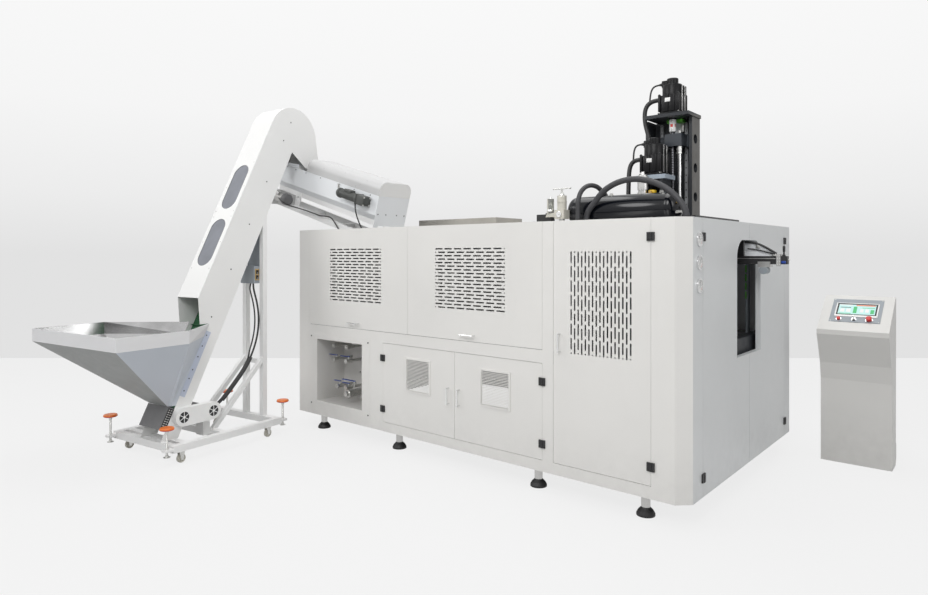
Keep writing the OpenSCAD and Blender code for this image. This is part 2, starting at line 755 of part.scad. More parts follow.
// Outlet door: a folded sheet with its part of the window and that window's deeper fold
module outlet_door(y) {
    z = [skirt_z, cab_h];
    on_end(chamfer - sheet, sheet) difference() {
        rect(y, z);
        window_shape(0);
    }
    on_end(chamfer - sheet - door_fold, door_fold) difference() {
        outline(y, z, sheet);
        window_shape(0);
    }
    on_end(chamfer - 40, 40 - sheet) intersection() {
        rect(y, z);
        difference() {
            window_shape(sheet);
            window_shape(0);
        }
    }
}
module outlet_door_front() color("whitesmoke") {
    outlet_door([end_hinge_y + door_gap / 2, end_split - door_gap / 2]);
    for (z = end_hinge_z) end_hinge(end_hinge_y, z, 1) hinge_moving();
}
module outlet_door_rear() color("whitesmoke") {
    outlet_door([end_split + door_gap / 2, end_last - door_gap / 2]);
    for (z = end_hinge_z) end_hinge(end_last, z, 0) hinge_moving();
}

// Ball valve across the recess: body, end nuts, pipe to the back wall and the lever's stem
module valve(i) {
    big = i == 4 ? 1.8 : 1;
    back = recess_depth - sheet;
    rod_y(valve_x[i], [valve_y - 40 * big, valve_y + 40 * big], valve_z[i], valve_r * big);
    for (y = [valve_y - 40 * big, valve_y + 26 * big]) translate([valve_x[i], y, valve_z[i]])
        rotate([-90, 0, 0]) cylinder(r = valve_r * big + 4, h = 14 * big, $fn = 6);
    rod_y(valve_x[i], [valve_y, back], valve_z[i], valve_r * big * 0.7);
    rod_z(valve_x[i], valve_y, [valve_z[i], lever_z[i] - 5], 7);
    rod_z(valve_x[i], valve_y, [valve_z[i], lever_z[i] + 5], 4);
}

module service_valves() color("silver") {
    back = recess_depth - sheet;
    for (i = [0:4]) valve(i);
    // Hose coupling on the big valve
    rod_y(valve_x[4], [valve_y - 112, valve_y - 70], valve_z[4], 24);
    rod_y(valve_x[4], [valve_y - 82, valve_y - 60], valve_z[4], 38);
    // Upper pair of couplings without levers
    for (x = [valve_x[0] - 10, valve_x[1]]) {
        rod_y(x, [valve_y - 40, back], valve_z[0] + 138, 14);
        rod_y(x, [valve_y - 30, valve_y + 40], valve_z[0] + 138, 21);
    }
    // Blanked ports on the back wall
    for (x = [255, 401]) rod_y(recess_x0 + x, [back - 12, back], 557, 9);
}

// Lever of a valve: a flat handle that turns on the stem
module valve_lever(i) color("royalblue") {
    w = i == 4 ? 24 : 18;
    difference() {
        union() {
            bar([valve_x[i] - lever_len[i], valve_x[i]], [valve_y - w / 2, valve_y + w / 2],
                [lever_z[i] - 4, lever_z[i] + 1]);
            rod_z(valve_x[i], valve_y, [lever_z[i] - 4, lever_z[i] + 3], w / 2 + 1);
        }
        rod_z(valve_x[i], valve_y, [lever_z[i] - 9, lever_z[i] + 9], 4 + fit);
    }
}

module pressure_gauges() color("silver") {
    for (z = gauge_z) translate([chamfer, gauge_y, z]) rotate([0, 90, 0]) {
        difference() {
            cylinder(r = gauge_r + 5, h = 12);
            translate([0, 0, 8]) cylinder(r = gauge_r, h = 5);
        }
        translate([0, 0, -34]) cylinder(r = gauge_r, h = 34);
    }
}

// Oven: lamp housings on both sides of the chain's near run, on rails across the frame
module oven_bank() color([0.35, 0.36, 0.38]) {
    x0 = chain_x[0] + wheel_lead;
    x1 = chain_x[1] - wheel_lead;
    pitch = (x1 - x0) / oven_modules;
    for (y = [oven_y[0], oven_y[1] + 90]) bar([x0, x1], [y, y + 40], [mid_top, mid_top + 60]);
    for (i = [0:oven_modules - 1], s = [0, 1]) {
        x = x0 + i * pitch;
        y = oven_y[s];
        translate([x + 20, y, mid_top + 60]) difference() {
            cube([pitch - 40, 130, 480]);
            translate([12, s == 0 ? 30 : -1, 20]) cube([pitch - 64, 101, 440]);
        }
        for (k = [0:lamp_count - 1])
            rod_x([x + 32, x + pitch - 32], y + (s == 0 ? 60 : 70), mid_top + 120 + k * 68, 6);
    }
    for (x = [x0 + 60, x1 - 100])
        bar([x, x + 40], [frame_y0 + tube, frame_y1 - tube], [mid_top - 40, mid_top]);
}

// Flat obround over the chain's two wheels, out to a distance r from its centre line
module chain_loop(r, z) {
    yc = (chain_y[0] + chain_y[1]) / 2;
    for (x = chain_x) rod_z(x, yc, z, r);
    bar(chain_x, [yc - r, yc + r], z);
}

// Chain: an endless track, its two wheels and the spindles that carry the preforms
module preform_chain() color("slategray") {
    yc = (chain_y[0] + chain_y[1]) / 2;
    r = (chain_y[1] - chain_y[0]) / 2;
    track = [chain_z, chain_z + 16];
    difference() {
        chain_loop(r + chain_half, track);
        chain_loop(r - chain_half, [track[0] - 1, track[1] + 1]);
    }
    for (x = chain_x) {
        rod_z(x, yc, track, r - chain_half);
        rod_z(x, yc, [mid_top - 60, chain_z], 35);
        bar([x - 60, x + 60], [frame_y0 + tube, frame_y1 - tube], [mid_top - 80, mid_top - 60]);
    }
    for (x = [chain_x[0]:110:chain_x[1]], y = chain_y) rod_z(x, y, [track[1], track[1] + 60], 11);
}

module clamp_frame() color([0.25, 0.27, 0.3]) {
    end_x = [frame_x1 - tube - 20, frame_x1 - 20];
    // Beam across the outlet, with its lug
    bar(end_x, [frame_y0 + tube, frame_y1 - tube], [mid_top - tube, beam_top]);
    translate([end_x[0] + 10, 0, 0]) difference() {
        union() {
            rod_x([0, 40], mould_y + 80, beam_top + 60, 70);
            bar([0, 40], [mould_y + 10, mould_y + 150], [beam_top, beam_top + 60]);
        }
        rod_x([-1, 41], mould_y + 80, beam_top + 60, 20);
    }
    // Fixed end plates and tie bars of the clamp
    for (y = [mould_y - 510, mould_y + 450])
        bar([platen_x0, platen_x1], [y, y + platen_t], [mid_top, platen_z1]);
    for (x = tie_x, z = tie_z) rod_y(x, [mould_y - 450, mould_y + 450], z, tie_r);
}

// Mould half with its sliding platen; s = -1 in front of the centre line and 1 behind it
module mould_half(s) {
    face = mould_y + s * mould_gap;
    back = face + s * mould_t;
    y_block = s > 0 ? [face, back] : [back, face];
    y_plate = s > 0 ? [back, back + platen_t] : [back - platen_t, back];
    difference() {
        union() {
            bar([platen_x0 + 130, platen_x1 - 130], y_block, [platen_z0 + 60, platen_z1 - 120]);
            bar([platen_x0 + 20, platen_x1 - 20], y_plate, [platen_z0 + 20, platen_z1 - 20]);
        }
        for (x = tie_x, z = tie_z) rod_y(x, [y_plate[0] - 1, y_plate[1] + 1], z, tie_r + fit);
        for (k = [-1, 0, 1]) rod_z(station_x - 7 + k * 115, face, [platen_z0 + 100, platen_z1 - 220], 44);
        for (k = [-1, 0, 1]) rod_z(station_x - 7 + k * 115, face, [platen_z1 - 221, platen_z1 - 100], 15);
    }
}
module mould_front() color("lightsteelblue") mould_half(-1);
module mould_rear() color("lightsteelblue") mould_half(1);

module takeout_rail() color([0.1, 0.1, 0.1]) {
    y = [rail_y - rail_w / 2, rail_y + rail_w / 2];
    z = [rail_z, rail_z + 62];
    bar([rail_x0, rail_x1], y, z);
    bar([rail_x1 - 70, rail_x1 - 40], [y[0] - 14, y[0]], [z[0] - 14, z[1] + 16]);
    bar([rail_x1 - 70, rail_x1 - 40], [y[0] - 14, y[1]], [z[1], z[1] + 16]);
    for (x = [rail_x0 - 30, frame_x1 - 60])
        bar([x, x + 50], [rail_y - 20, rail_y + 20], [z[1], rail_top - tube]);
    // Sheet arm that carries the cables along the rail
    on_front(rail_y - 26, 4) polygon([
        [frame_x1, z[1]], [rail_x1 - 80, z[1]], [rail_x1 - 80, z[1] + 34], [rail_x1 - 150, z[1] + 62],
        [chamfer + 20, z[1] + 100], [frame_x1, z[1] + 112]
    ]);
}

// Gripper carriage under the rail, with its round motor
module takeout_gripper() color("slategray") {
    y = [rail_y - rail_w / 2 - 10, rail_y + rail_w / 2 + 10];
    slack = 0.3;
    difference() {
        bar([gripper_x - 45, gripper_x + 45], y, [rail_z - 22, rail_z + 20]);
        bar([gripper_x - 46, gripper_x + 46], [rail_y - rail_w / 2 - slack, rail_y + rail_w / 2 + slack],
            [rail_z - slack, rail_z + 21]);
    }
    rod_y(gripper_x, [rail_y - 55, rail_y + 25], rail_z - 46, 30);
}

module press_tower() color([0.2, 0.22, 0.24]) {
    // Pad on the roof, with the hole for the stretch rod
    difference() {
        bar([tower_x0 - 30, tower_x1 + 40], [low_motor_y - 110, tower_y1 + 60], [roof_z, pad_top]);
        rod_z(rod_x, screw_y, [roof_z - 1, pad_top + 1], rod_r + 4);
        bar([tower_x0 + 40, tower_x0 + 130], [screw_y - 30, screw_y + 40], [roof_z - 1, pad_top + 1]);
    }
    // Column: back plate and two side plates with lightening holes
    bar([tower_x0, tower_x1], [tower_y1, tower_y1 + tower_plate], [pad_top, tower_top - 27]);
    for (x = [tower_x0, tower_x1 - tower_plate]) difference() {
        bar([x, x + tower_plate], [screw_y - 10, tower_y1], [pad_top, tower_top - 27]);
        for (z = [245, 477, 709]) rod_x([x - 1, x + tower_plate + 1], screw_y + 60, roof_z + z, 38);
    }
    difference() {
        bar([tower_x0 + 40, tower_x1 + 10], [screw_y - 110, tower_y1 + tower_plate],
            [tower_top - 27, tower_top]);
        rod_z(station_x, screw_y, [tower_top - 28, tower_top + 1], 32);
    }
    // Foot bearing of the ball screw
    difference() {
        bar([station_x - 40, station_x + 40], [screw_y - 40, tower_y1], [pad_top, pad_top + 45]);
        rod_z(station_x, screw_y, [pad_top + 10, pad_top + 46], screw_r + fit);
    }
    // Stand of the lower motor
    difference() {
        bar([low_motor_x - 115, low_motor_x + 130], [low_motor_y - 95, low_motor_y + 95],
            [low_plate_z, low_plate_z + low_plate_t]);
        rod_z(low_motor_x, low_motor_y, [low_plate_z - 1, low_plate_z + low_plate_t + 1], 32);
    }
    for (x = [low_motor_x - 100, low_motor_x + 80])
        bar([x, x + 20], [low_motor_y - 80, low_motor_y + 90], [pad_top, low_plate_z]);
    // Cable duct along the roof's end edge
    bar([-24, 6], [330, 1230], [roof_z, roof_z + 54]);
}

module guide_rails() color("silver") {
    for (x = [tower_x0 + 92, tower_x1 - 92]) bar([x - 12, x + 12], [rail_face_y, tower_y1],
        [roof_z + 110, tower_top - 50]);
}

module stretch_carriage() color([0.2, 0.22, 0.24]) {
    z = [carriage_z0, carriage_z0 + carriage_h];
    slack = 0.3;
    difference() {
        union() {
            bar([carriage_x0, carriage_x1], [rail_face_y - 30, rail_face_y - slack], z);
            bar([station_x - 50, rod_x + 30], [screw_y - 38, rail_face_y - 29], z);
        }
        rod_z(station_x, screw_y, [z[0] - 1, z[1] + 1], screw_r + fit);
    }
    // Bearing blocks that hold the guide rails
    for (x = [tower_x0 + 92, tower_x1 - 92], s = [-1, 1])
        bar([x + (s < 0 ? -24 : 12 + slack), x + (s < 0 ? -12 - slack : 24)],
            [rail_face_y - 10, tower_y1 - 6], z);
    // Stretch rod and its sleeve
    rod_z(rod_x, screw_y, [roof_z - 10, z[0]], rod_r);
    rod_z(rod_x, screw_y, [z[0] - 60, z[0]], rod_r + 6);
}

module ball_screw() color("silver") {
    rod_z(station_x, screw_y, [pad_top + 12, tower_top - 20], screw_r);
    rod_z(station_x, screw_y, [carriage_z0 + carriage_h + 20, tower_top - 35], 27);
}

// Servo motor on end: square ribbed body, round upper body, cap and two plugs on its left
module servo(x, y, z, h) {
    s = motor_side / 2;
    ribs_top = h * 0.55;
    translate([x, y, z]) {
        bar([-s, s], [-s, s], [0, 16]);
        bar([-s + 14, s - 14], [-s + 14, s - 14], [16, ribs_top]);
        for (k = [-1, -0.35, 0.35, 1]) {
            bar([k * 60 - 12, k * 60 + 12], [-s + 6, s - 6], [16, ribs_top]);
            bar([-s + 6, s - 6], [k * 60 - 12, k * 60 + 12], [16, ribs_top]);
        }
        rod_z(0, 0, [ribs_top, h - 50], s - 8);
        rod_z(0, 0, [h - 50, h], 44);
        rod_x([-s - plug_l, -s + 40], 0, plug_z[0], 24);
        rod_x([-s - plug_l, -s + 60], 0, plug_z[1], 13);
    }
}

module drive_motors() color([0.1, 0.1, 0.1]) {
    servo(station_x, screw_y, tower_top, 297);
    servo(low_motor_x, low_motor_y, low_plate_z + low_plate_t, 303);
    // Side motor of the unscrambler: fan hood, body, gear box, terminal box and bracket
    at_chute() {
        rod_x([-498, -470], -58, -78, 48);
        rod_x([-470, -200], -58, -78, 42);
        bar([-200, -90], [-102, -12], [-124, -32]);
        bar([-400, -300], [-88, -28], [-50, -22]);
        bar([-440, -100], [-20, 0], [-100, -56]);
    }
    // Gear motor at the high end of the lower rails
    at_chute() {
        bar([-1620, -1540], [-75, 25], [-400, -300]);
        rod_x([-1540, -1400], -25, -350, 52);
        rod_x([-1400, -1335], -25, -350, 62);
    }
    // Gear motor of the elevator, behind its guard
    at_elevator() {
        bar([near_u - 110, near_u - 8], [430, 540], [290, 400]);
        rod_x([near_u - 290, near_u - 110], 485, 345, 48);
        rod_x([near_u - 8, near_u + 56], 485, 345, 9);
    }
}

module air_tank() color([0.08, 0.08, 0.08]) {
    dome = 70;
    translate([tank_x1 - tank_l, tank_y, tank_z]) rotate([0, 90, 0]) rotate_extrude() polygon(concat(
        [[0, 0]],
        [for (a = [10:10:90]) [tank_r * sin(a), dome - dome * cos(a)]],
        [for (a = [90:-10:10]) [tank_r * sin(a), tank_l - dome + dome * cos(a)]],
        [[0, tank_l]]
    ));
    for (x = [tank_x1 - tank_l + 160, tank_x1 - 220]) difference() {
        bar([x, x + 60], [tank_y - 80, tank_y + 80], [roof_z, tank_z - 40]);
        rod_x([x - 1, x + 61], tank_y, tank_z, tank_r);
    }
    // Boss for the short hose and plug at the end
    tip = short_route[len(short_route) - 1];
    aim = unit(short_route[len(short_route) - 2] - tip);
    reach = norm([tip[1] - tank_y, tip[2] - tank_z]) - tank_r / 2;
    translate(tip) rotate([0, acos(-aim[2]), atan2(-aim[1], -aim[0])]) cylinder(r = 25, h = reach);
    rod_x([tank_x1 - 4, tank_x1 + 26], tank_y, tank_z, 14);
    // Roof fittings of the two hoses
    for (p = [long_route[0], short_route[0], long_route[len(long_route) - 1]])
        rod_z(p[0], p[1], [roof_z, 1990], 30);
}

module air_regulator() color("silver") {
    difference() {
        union() {
            rod_z(reg_x, reg_y, [roof_z + 60, reg_top], 36);
            bar([reg_x - 42, reg_x + 42], [reg_y - 42, reg_y + 42], [roof_z + 60, roof_z + 130]);
        }
        rod_z(reg_x, reg_y, [reg_top - 40, reg_top + 1], 8 + fit);
    }
    rod_z(reg_x, reg_y, [roof_z, roof_z + 60], 22);
    bar([reg_x - 140, reg_x - 42], [reg_y - 16, reg_y + 16], [roof_z + 78, roof_z + 110]);
    rod_z(reg_x - 104, reg_y, [roof_z + 110, roof_z + 220], 27);
    bar([reg_x - 275, reg_x - 135], [reg_y + 60, reg_y + 110], [roof_z, roof_z + 106]);
    bar([reg_x - 150, reg_x - 100], [reg_y + 15, reg_y + 60], [roof_z + 78, roof_z + 104]);
}

module regulator_handle() color("silver") {
    rod_z(reg_x, reg_y, [reg_top - 38, reg_top + 60], 8);
    rod_x([reg_x - 70, reg_x + 70], reg_y, reg_top + 56, 5.5);
}

module long_hose() color([0.15, 0.15, 0.16]) tube_along(long_route, long_hose_r, [0, 1, 0]);
module short_hose() color([0.15, 0.15, 0.16]) tube_along(short_route, short_hose_r, [1, 0.3, 0]);
module power_cables() color([0.12, 0.12, 0.12]) {
    for (route = [upper_conduit, lower_conduit]) tube_along(route, conduit_r, [0, 1, 0]);
    for (route = [upper_lead, lower_lead]) tube_along(route, lead_r, [0, 1, 0], 8);
    tube_along(side_cable, lead_r, [1, 0, 0], 8);
    at_elevator() tube_along(lift_cable, lift_cable_r, [1, 0, 0], 8);
}

// Height of the conveyor's rear line, crease line and front line at a depth v
function rear_at(v) = rear_z + (v - rear_v) * lift_slope;
function line_z(v, n) = rear_at(v) + n / cos(lift_angle);
function line_v(z, n) = rear_v + (z - rear_z - n / cos(lift_angle)) / lift_slope;

module elevator_base() color("whitesmoke") {
    t = base_tube;
    zr = [base_bottom, base_z];
    drop = 0.94;
    at_elevator() {
        difference() {
            bar([-base_w, 0], [0, base_l], zr);
            bar([t - base_w, -t], [t, base_l - t], [zr[0] - 1, zr[1] + 1]);
        }
        for (v = [100, 500]) bar([t - base_w, -t], [v, v + t], zr);
        // Ears of the jacks
        for (u = jack_u, s = [0, 1]) difference() {
            bar([u - 30, u + 30], s == 0 ? [jack_v[0] - 30, 0] : [base_l, jack_v[1] + 30],
                [zr[0] + 20, zr[0] + 40]);
            rod_z(u, jack_v[s], [zr[0], zr[1]], jack_r + fit);
        }
        // Foot of the gear motor
        bar([near_u - 110, near_u - 10], [430, 500], [base_bottom + 20, 290]);
    }
    // Posts, cut to the slope of the casing, with their braces and cross bar
    for (u = [near_u - post_side, far_u]) {
        on_lift(u, post_side) polygon([
            [post_v0, base_z], [post_v1, base_z], [post_v1, rear_at(post_v1)], [post_v0, rear_at(post_v0)]
        ]);
        on_lift(u + 5, 40) polygon([
            [post_v0, 690], [post_v0, 750], [560 - 40, base_z], [560 + 20, base_z]
        ]);
    }
    at_elevator() bar([far_u + post_side, near_u - post_side], [post_v0, post_v0 + 40], [680, 720]);
}

// Castor fork: plate, kingpin, two legs and the wheel's axle
module castor_fork() {
    side = wheel_w / 2 + 3;
    rod_z(0, 0, [base_bottom - 6, base_bottom], 34);
    rod_z(0, 0, [base_bottom - 14, base_bottom - 6], 22);
    bar([-side - 4, side + 4], [-24, 24], [base_bottom - 20, base_bottom - 14]);
    for (s = [-1, 1]) translate([s > 0 ? side : -side - 4, 0, 0]) on_end(0, 4) polygon([
        [-24, base_bottom - 16], [24, base_bottom - 16], [11, wheel_d / 2 - 12], [-11, wheel_d / 2 - 12]
    ]);
    rod_x([-side - 4, side + 4], 0, wheel_d / 2, axle_r);
}
module castor_forks() color("silver") {
    for (u = castor_u, v = castor_v) at_elevator() translate([u, v, 0]) castor_fork();
}
module castor_wheel(u, v) color("ivory") at_elevator() translate([u, v, wheel_d / 2]) rotate([0, 90, 0])
    difference() {
        translate([0, 0, -wheel_w / 2]) rotate_extrude() polygon([
            [0, 0], [22, 0], [22, 3], [30, 3], [33, 0], [wheel_d / 2 - 3, 0], [wheel_d / 2, 4],
            [wheel_d / 2, wheel_w - 4], [wheel_d / 2 - 3, wheel_w], [33, wheel_w], [30, wheel_w - 3],
            [22, wheel_w - 3], [22, wheel_w], [0, wheel_w]
        ]);
        translate([0, 0, -wheel_w]) cylinder(r = axle_r + fit, h = 2 * wheel_w);
    }

// Jack: foot disc, threaded rod and hand wheel
module jack_screws() color("darkorange") {
    for (u = jack_u, s = [0, 1]) at_elevator() translate([u, jack_v[s], 0]) {
        rod_z(0, 0, [jack_foot_z, knob_z - 15], jack_r);
        rod_z(0, 0, [jack_foot_z, jack_foot_z + 9], 28);
        rod_z(0, 0, [knob_z - 24, knob_z], knob_d / 2 - 6);
        rod_z(0, 0, [knob_z - 18, knob_z - 6], knob_d / 2);
    }
}

// Point on the rounded head's path, moved inwards by t
head_v = line_v(head_z - head_r, cover_d) + head_r / sin(lift_angle);
function head_path(t) = concat(
    [[line_v(mouth_top, cover_d) + t * sin(lift_angle), mouth_top - t * cos(lift_angle)]],
    [for (i = [0:12]) let (a = (90 + lift_angle) * (1 - i / 12))
        [head_v + (head_r - t) * cos(a), head_z - head_r + (head_r - t) * sin(a)]],
    [[hood_v1 - t, hood_z]]
);
mouth_top = line_z(mouth_v, cover_d) - 35;

module conveyor_frame() color("whitesmoke") {
    for (u = [far_u, near_u - sheet]) on_lift(u, sheet) difference() {
        polygon([
            [line_v(base_z, 0), base_z], [head_joint_v, rear_at(head_joint_v)],
            [head_joint_v, line_z(head_joint_v, channel_d)], [line_v(base_z, channel_d), base_z]
        ]);
        translate([drum_v(drum_s0), drum_z(drum_s0)]) circle(shaft_r + 3);
    }
    at_lift() bar([far_u + sheet, near_u - sheet], [-sheet, 0], [-150, drum_s1 - 180]);
    // Guard over the drive, with two round grilles
    v0 = drum_v(drum_s0);
    z0 = drum_z(drum_s0);
    on_lift(near_u, 60) difference() {
        obround(v0, 485, z0, 78);
        obround(v0, 485, z0, 75);
    }
    on_lift(near_u + 60, 3) difference() {
        obround(v0, 485, z0, 78);
        for (v = [v0, 485], a = [0:45:315]) translate([v, z0]) rotate(a) translate([30, 0]) circle(8);
    }
}
function drum_v(s) = rear_v + s * cos(lift_angle) - drum_n * sin(lift_angle);
function drum_z(s) = rear_z + s * sin(lift_angle) + drum_n * cos(lift_angle);
module obround(v0, v1, z, r) {
    rect([v0, v1], [z - r, z + r]);
    translate([v0, z]) circle(r);
    translate([v1, z]) circle(r);
}

// Endless belt with cleats, on a drum at each end
module conveyor_belt() color("darkgreen") at_lift() {
    u = [far_u + sheet + 6, near_u - sheet - 6];
    r = drum_r + belt_t;
    difference() {
        union() {
            bar(u, [-drum_n - r, -drum_n + r], [drum_s0, drum_s1]);
            for (s = [drum_s0, drum_s1]) rod_x(u, -drum_n, s, r);
        }
        bar([u[0] - 1, u[1] + 1], [-drum_n - drum_r, -drum_n + drum_r], [drum_s0, drum_s1]);
        for (s = [drum_s0, drum_s1]) rod_x([u[0] - 1, u[1] + 1], -drum_n, s, drum_r);
    }
    for (s = [drum_s0 + 60:cleat_pitch:drum_s1 - 40]) {
        bar(u, [-drum_n - r - cleat_h, -drum_n - r], [s, s + 4]);
        bar(u, [-drum_n + r, -drum_n + r + cleat_h], [s, s + 4]);
    }
    for (s = [drum_s0, drum_s1]) {
        rod_x(u, -drum_n, s, drum_r);
        ends = s == drum_s0 ? [-20, 56] : [sheet, -sheet];
        rod_x([far_u + ends[0], near_u + ends[1]], -drum_n, s, shaft_r + 3 - fit);
    }
}

// Side cheek of the casing, with its hood cut off at a height z
hood_slope = (rear_at(head_joint_v) - hood_z) / (hood_v0 - head_joint_v);
function cheek(z) = concat(
    [[mouth_v, mouth_low], [line_v(mouth_top, cover_d), mouth_top]],
    [for (i = [1:13]) head_path(0)[i]],
    [[hood_v1, z], [hood_v0 - (z - hood_z) / hood_slope, z], [head_joint_v, rear_at(head_joint_v)],
     [head_joint_v, line_z(head_joint_v, channel_d)],
     [line_v(mouth_low, channel_d), mouth_low]]
);
module casing_cover() color("whitesmoke") {
    on_lift(near_u - sheet, sheet) polygon(cheek(hood_z));
    on_lift(far_u, sheet) polygon(cheek(far_hood_z));
    difference() {
        on_lift(far_u + sheet, lift_w - 2 * sheet)
            polygon(concat(head_path(0), [for (i = [14:-1:0]) head_path(sheet)[i]]));
        at_lift() for (s = window_s) translate([lift_u, 0, s]) rotate([90, 0, 0])
            linear_extrude(cover_d + 10) rotate(90) oval(oval_l, oval_w);
    }
}
module oval(l, w) {
    square([l - w, w], center = true);
    for (s = [-1, 1]) translate([s * (l - w) / 2, 0]) circle(w / 2);
}

module casing_windows() color([0.7, 0.72, 0.78, 0.5]) at_lift() {
    for (s = window_s) translate([lift_u, seat_gap + sheet + 3 - cover_d, s]) rotate([90, 0, 0])
        linear_extrude(3) rotate(90) oval(oval_l + 24, oval_w + 24);
}

// Hopper: an upright band round the rim and sloping sheets down to the boot, open to the belt
hop_u = [lift_u - 783, lift_u - 783 + rim_w];
hop_v0 = -562;
hop_v1 = 50;
function hop_crease(z, t) = line_v(z, channel_d) + 0.7 * t;
function hop_ring(z, t) = [
    [hop_u[0] + t, hop_v0 + t, z], [hop_u[1] - t, hop_v0 + t, z], [hop_u[1] - t, hop_v1 - 0.6 * t, z],
    [near_u - 3.3 * t, hop_crease(z, t), z], [far_u + 3.3 * t, hop_crease(z, t), z],
    [hop_u[0] + t, hop_v1 - 0.6 * t, z]
];
function hop_low(z, t) = [
    [far_u + 20 + t, 88 + t, z], [near_u - 20 - t, 88 + t, z], [near_u - t, 108 + t, z],
    [near_u - 3.3 * t, hop_crease(z, t), z], [far_u + 3.3 * t, hop_crease(z, t), z],
    [far_u + t, 108 + t, z]
];

// Solid funnel, set in by t from the outside of the sheets
module hop_solid(z_low, z_bend, z_top, t) {
    corners = [
        for (i = [0, 6], k = [0:5]) [i + k, i + (k + 1) % 6, i + 6 + (k + 1) % 6, i + 6 + k]
    ];
    sides = [for (q = corners) each [[q[2], q[1], q[0]], [q[3], q[2], q[0]]]];
    polyhedron(
        concat(hop_low(z_low, t), hop_ring(z_bend, t), hop_ring(z_top, t)),
        concat(sides, [[0, 1, 2, 3, 4, 5], [17, 16, 15, 14, 13, 12]])
    );
}
module hopper() color("whitesmoke") {
    z_low = 456;
    z_bend = rim_z - rim_h;
    at_elevator() difference() {
        hop_solid(z_low, z_bend, rim_z, 0);
        hop_solid(z_low - 1, z_bend, rim_z + 1, sheet);
    }
    // Flanges on the casing's sides
    at_lift() for (u = [near_u + 0.5, far_u - 3.5])
        bar([u, u + 3], [-channel_d - 2.5, 50 - channel_d], [40, 640]);
    // Boot under the outlet
    at_lift() difference() {
        bar([far_u, near_u], [-channel_d - 58, -channel_d], [-270, -75]);
        bar([far_u + 3, near_u - 3], [-channel_d - 55, -channel_d + 1], [-267, -74]);
    }
}

module electric_box() color([0.3, 0.32, 0.34]) at_elevator() {
    bar([far_u + post_side, near_u - post_side], [1030, post_v0], [1470, 1640]);
    bar([far_u + post_side, near_u - post_side], [post_v0 + 20, post_v1], [1640, 2040]);
    bar([far_u + post_side, near_u - post_side], [post_v0, post_v1], [1600, 1640]);
}

// Section of the trough: upright sides that turn in to a narrower floor
function trough_shape(top) = [
    [0, top], [0, -chute_h], [chute_turn, -chute_low], [chute_w - chute_turn, -chute_low],
    [chute_w, -chute_h], [chute_w, top]
];
module unscrambler_trough() color("gainsboro") difference() {
    at_chute() {
        difference() {
            on_end(-chute_l, chute_l) polygon(trough_shape(0));
            on_end(sheet - chute_l, chute_l - 2 * sheet) polygon(inset(trough_shape(10), sheet));
            bar([-190, -40], [130, 270], [-chute_low - 1, -chute_low + sheet + 1]);
        }
        // End plate down to the roof, with its three notches
        difference() {
            bar([-sheet, 0], [0, chute_w], [-chute_low - 120, -chute_h]);
            for (y = [60, 150, 260]) bar([-sheet - 1, 1], [y, y + 64], [-chute_low - 121, -chute_low - 40]);
        }
        // Inner bosses of the rollers' bearings
        for (x = [sheet - chute_l, -sheet - 12], y = roller_y) difference() {
            rod_x([x, x + 12], y, roller_z, 26);
            rod_x([x - 1, x + 13], y, roller_z, shaft_r + fit);
        }
        // Lugs and pins of the cover's hinge
        for (x = [-hood_l + 160, -160]) {
            for (s = [-1, 1]) {
                bar([x + s * 21 - 5, x + s * 21 + 5], [chute_w, hood_pin_y], [-40, hood_pin_z]);
                rod_x([x + s * 21 - 5, x + s * 21 + 5], hood_pin_y, hood_pin_z, 8);
            }
            rod_x([x - 26, x + 26], hood_pin_y, hood_pin_z, 4);
        }
        // Two rails along the floor, and two lower ones that run down to the roof
        for (y = [chute_turn, chute_w - chute_turn - 30]) {
            bar([-1660, -60], [y, y + 30], [-chute_low - 50, -chute_low]);
            bar([-1800, -150], [y - 20, y], [low_rail_z, low_rail_z + 60]);
        }
        for (x = [-1790, -1120, -620]) bar([x, x + 30], [chute_turn - 20, chute_w - chute_turn - 30],
            [low_rail_z + 15, low_rail_z + 45]);
        // Hangers between the rails, the first with the gear motor
        bar([-1660, -1620], [-60, chute_w - chute_turn], [low_rail_z, -chute_low - 50]);
        difference() {
            bar([-1330, -1250], [chute_turn - 6, chute_turn], [low_rail_z + 20, -chute_low]);
            rod_y(-1290, [0, chute_w], -300, 16);
        }
    }
    bar([-cab_l, chamfer], [0, cab_d], [0, roof_z]);
}

// Rounded profile of the cover, w wide and h high
module hood_shape(w, h, r) intersection() {
    rect([0, w], [0, h]);
    union() {
        rect([0, w], [0, h - r]);
        rect([r, w - r], [0, h]);
        translate([r, h - r]) circle(r);
        translate([w - r, h - r]) circle(r);
    }
}
module unscrambler_cover() color("white") at_chute() {
    lift = 0.5;
    translate([-hood_l, 0, lift]) {
        difference() {
            on_end(0, hood_l) hood_shape(chute_w, hood_h, 80);
            on_end(sheet, hood_l - 2 * sheet) translate([sheet, -1])
                hood_shape(chute_w - 2 * sheet, hood_h - sheet + 1, 80 - sheet);
        }
    }
    for (x = [-hood_l + 160, -160]) difference() {
        union() {
            rod_x([x - 15, x + 15], hood_pin_y, hood_pin_z, 8);
            bar([x - 15, x + 15], [chute_w - 1, hood_pin_y], [hood_pin_z, hood_pin_z + 8]);
        }
        rod_x([x - 16, x + 16], hood_pin_y, hood_pin_z, 4 + fit);
    }
}

module sorting_roller(y) color("silver") at_chute() {
    rod_x([roller_end - chute_l, -roller_end], y, roller_z, roller_r);
    rod_x([sheet + 0.3 - chute_l, -sheet - 0.3], y, roller_z, shaft_r);
}

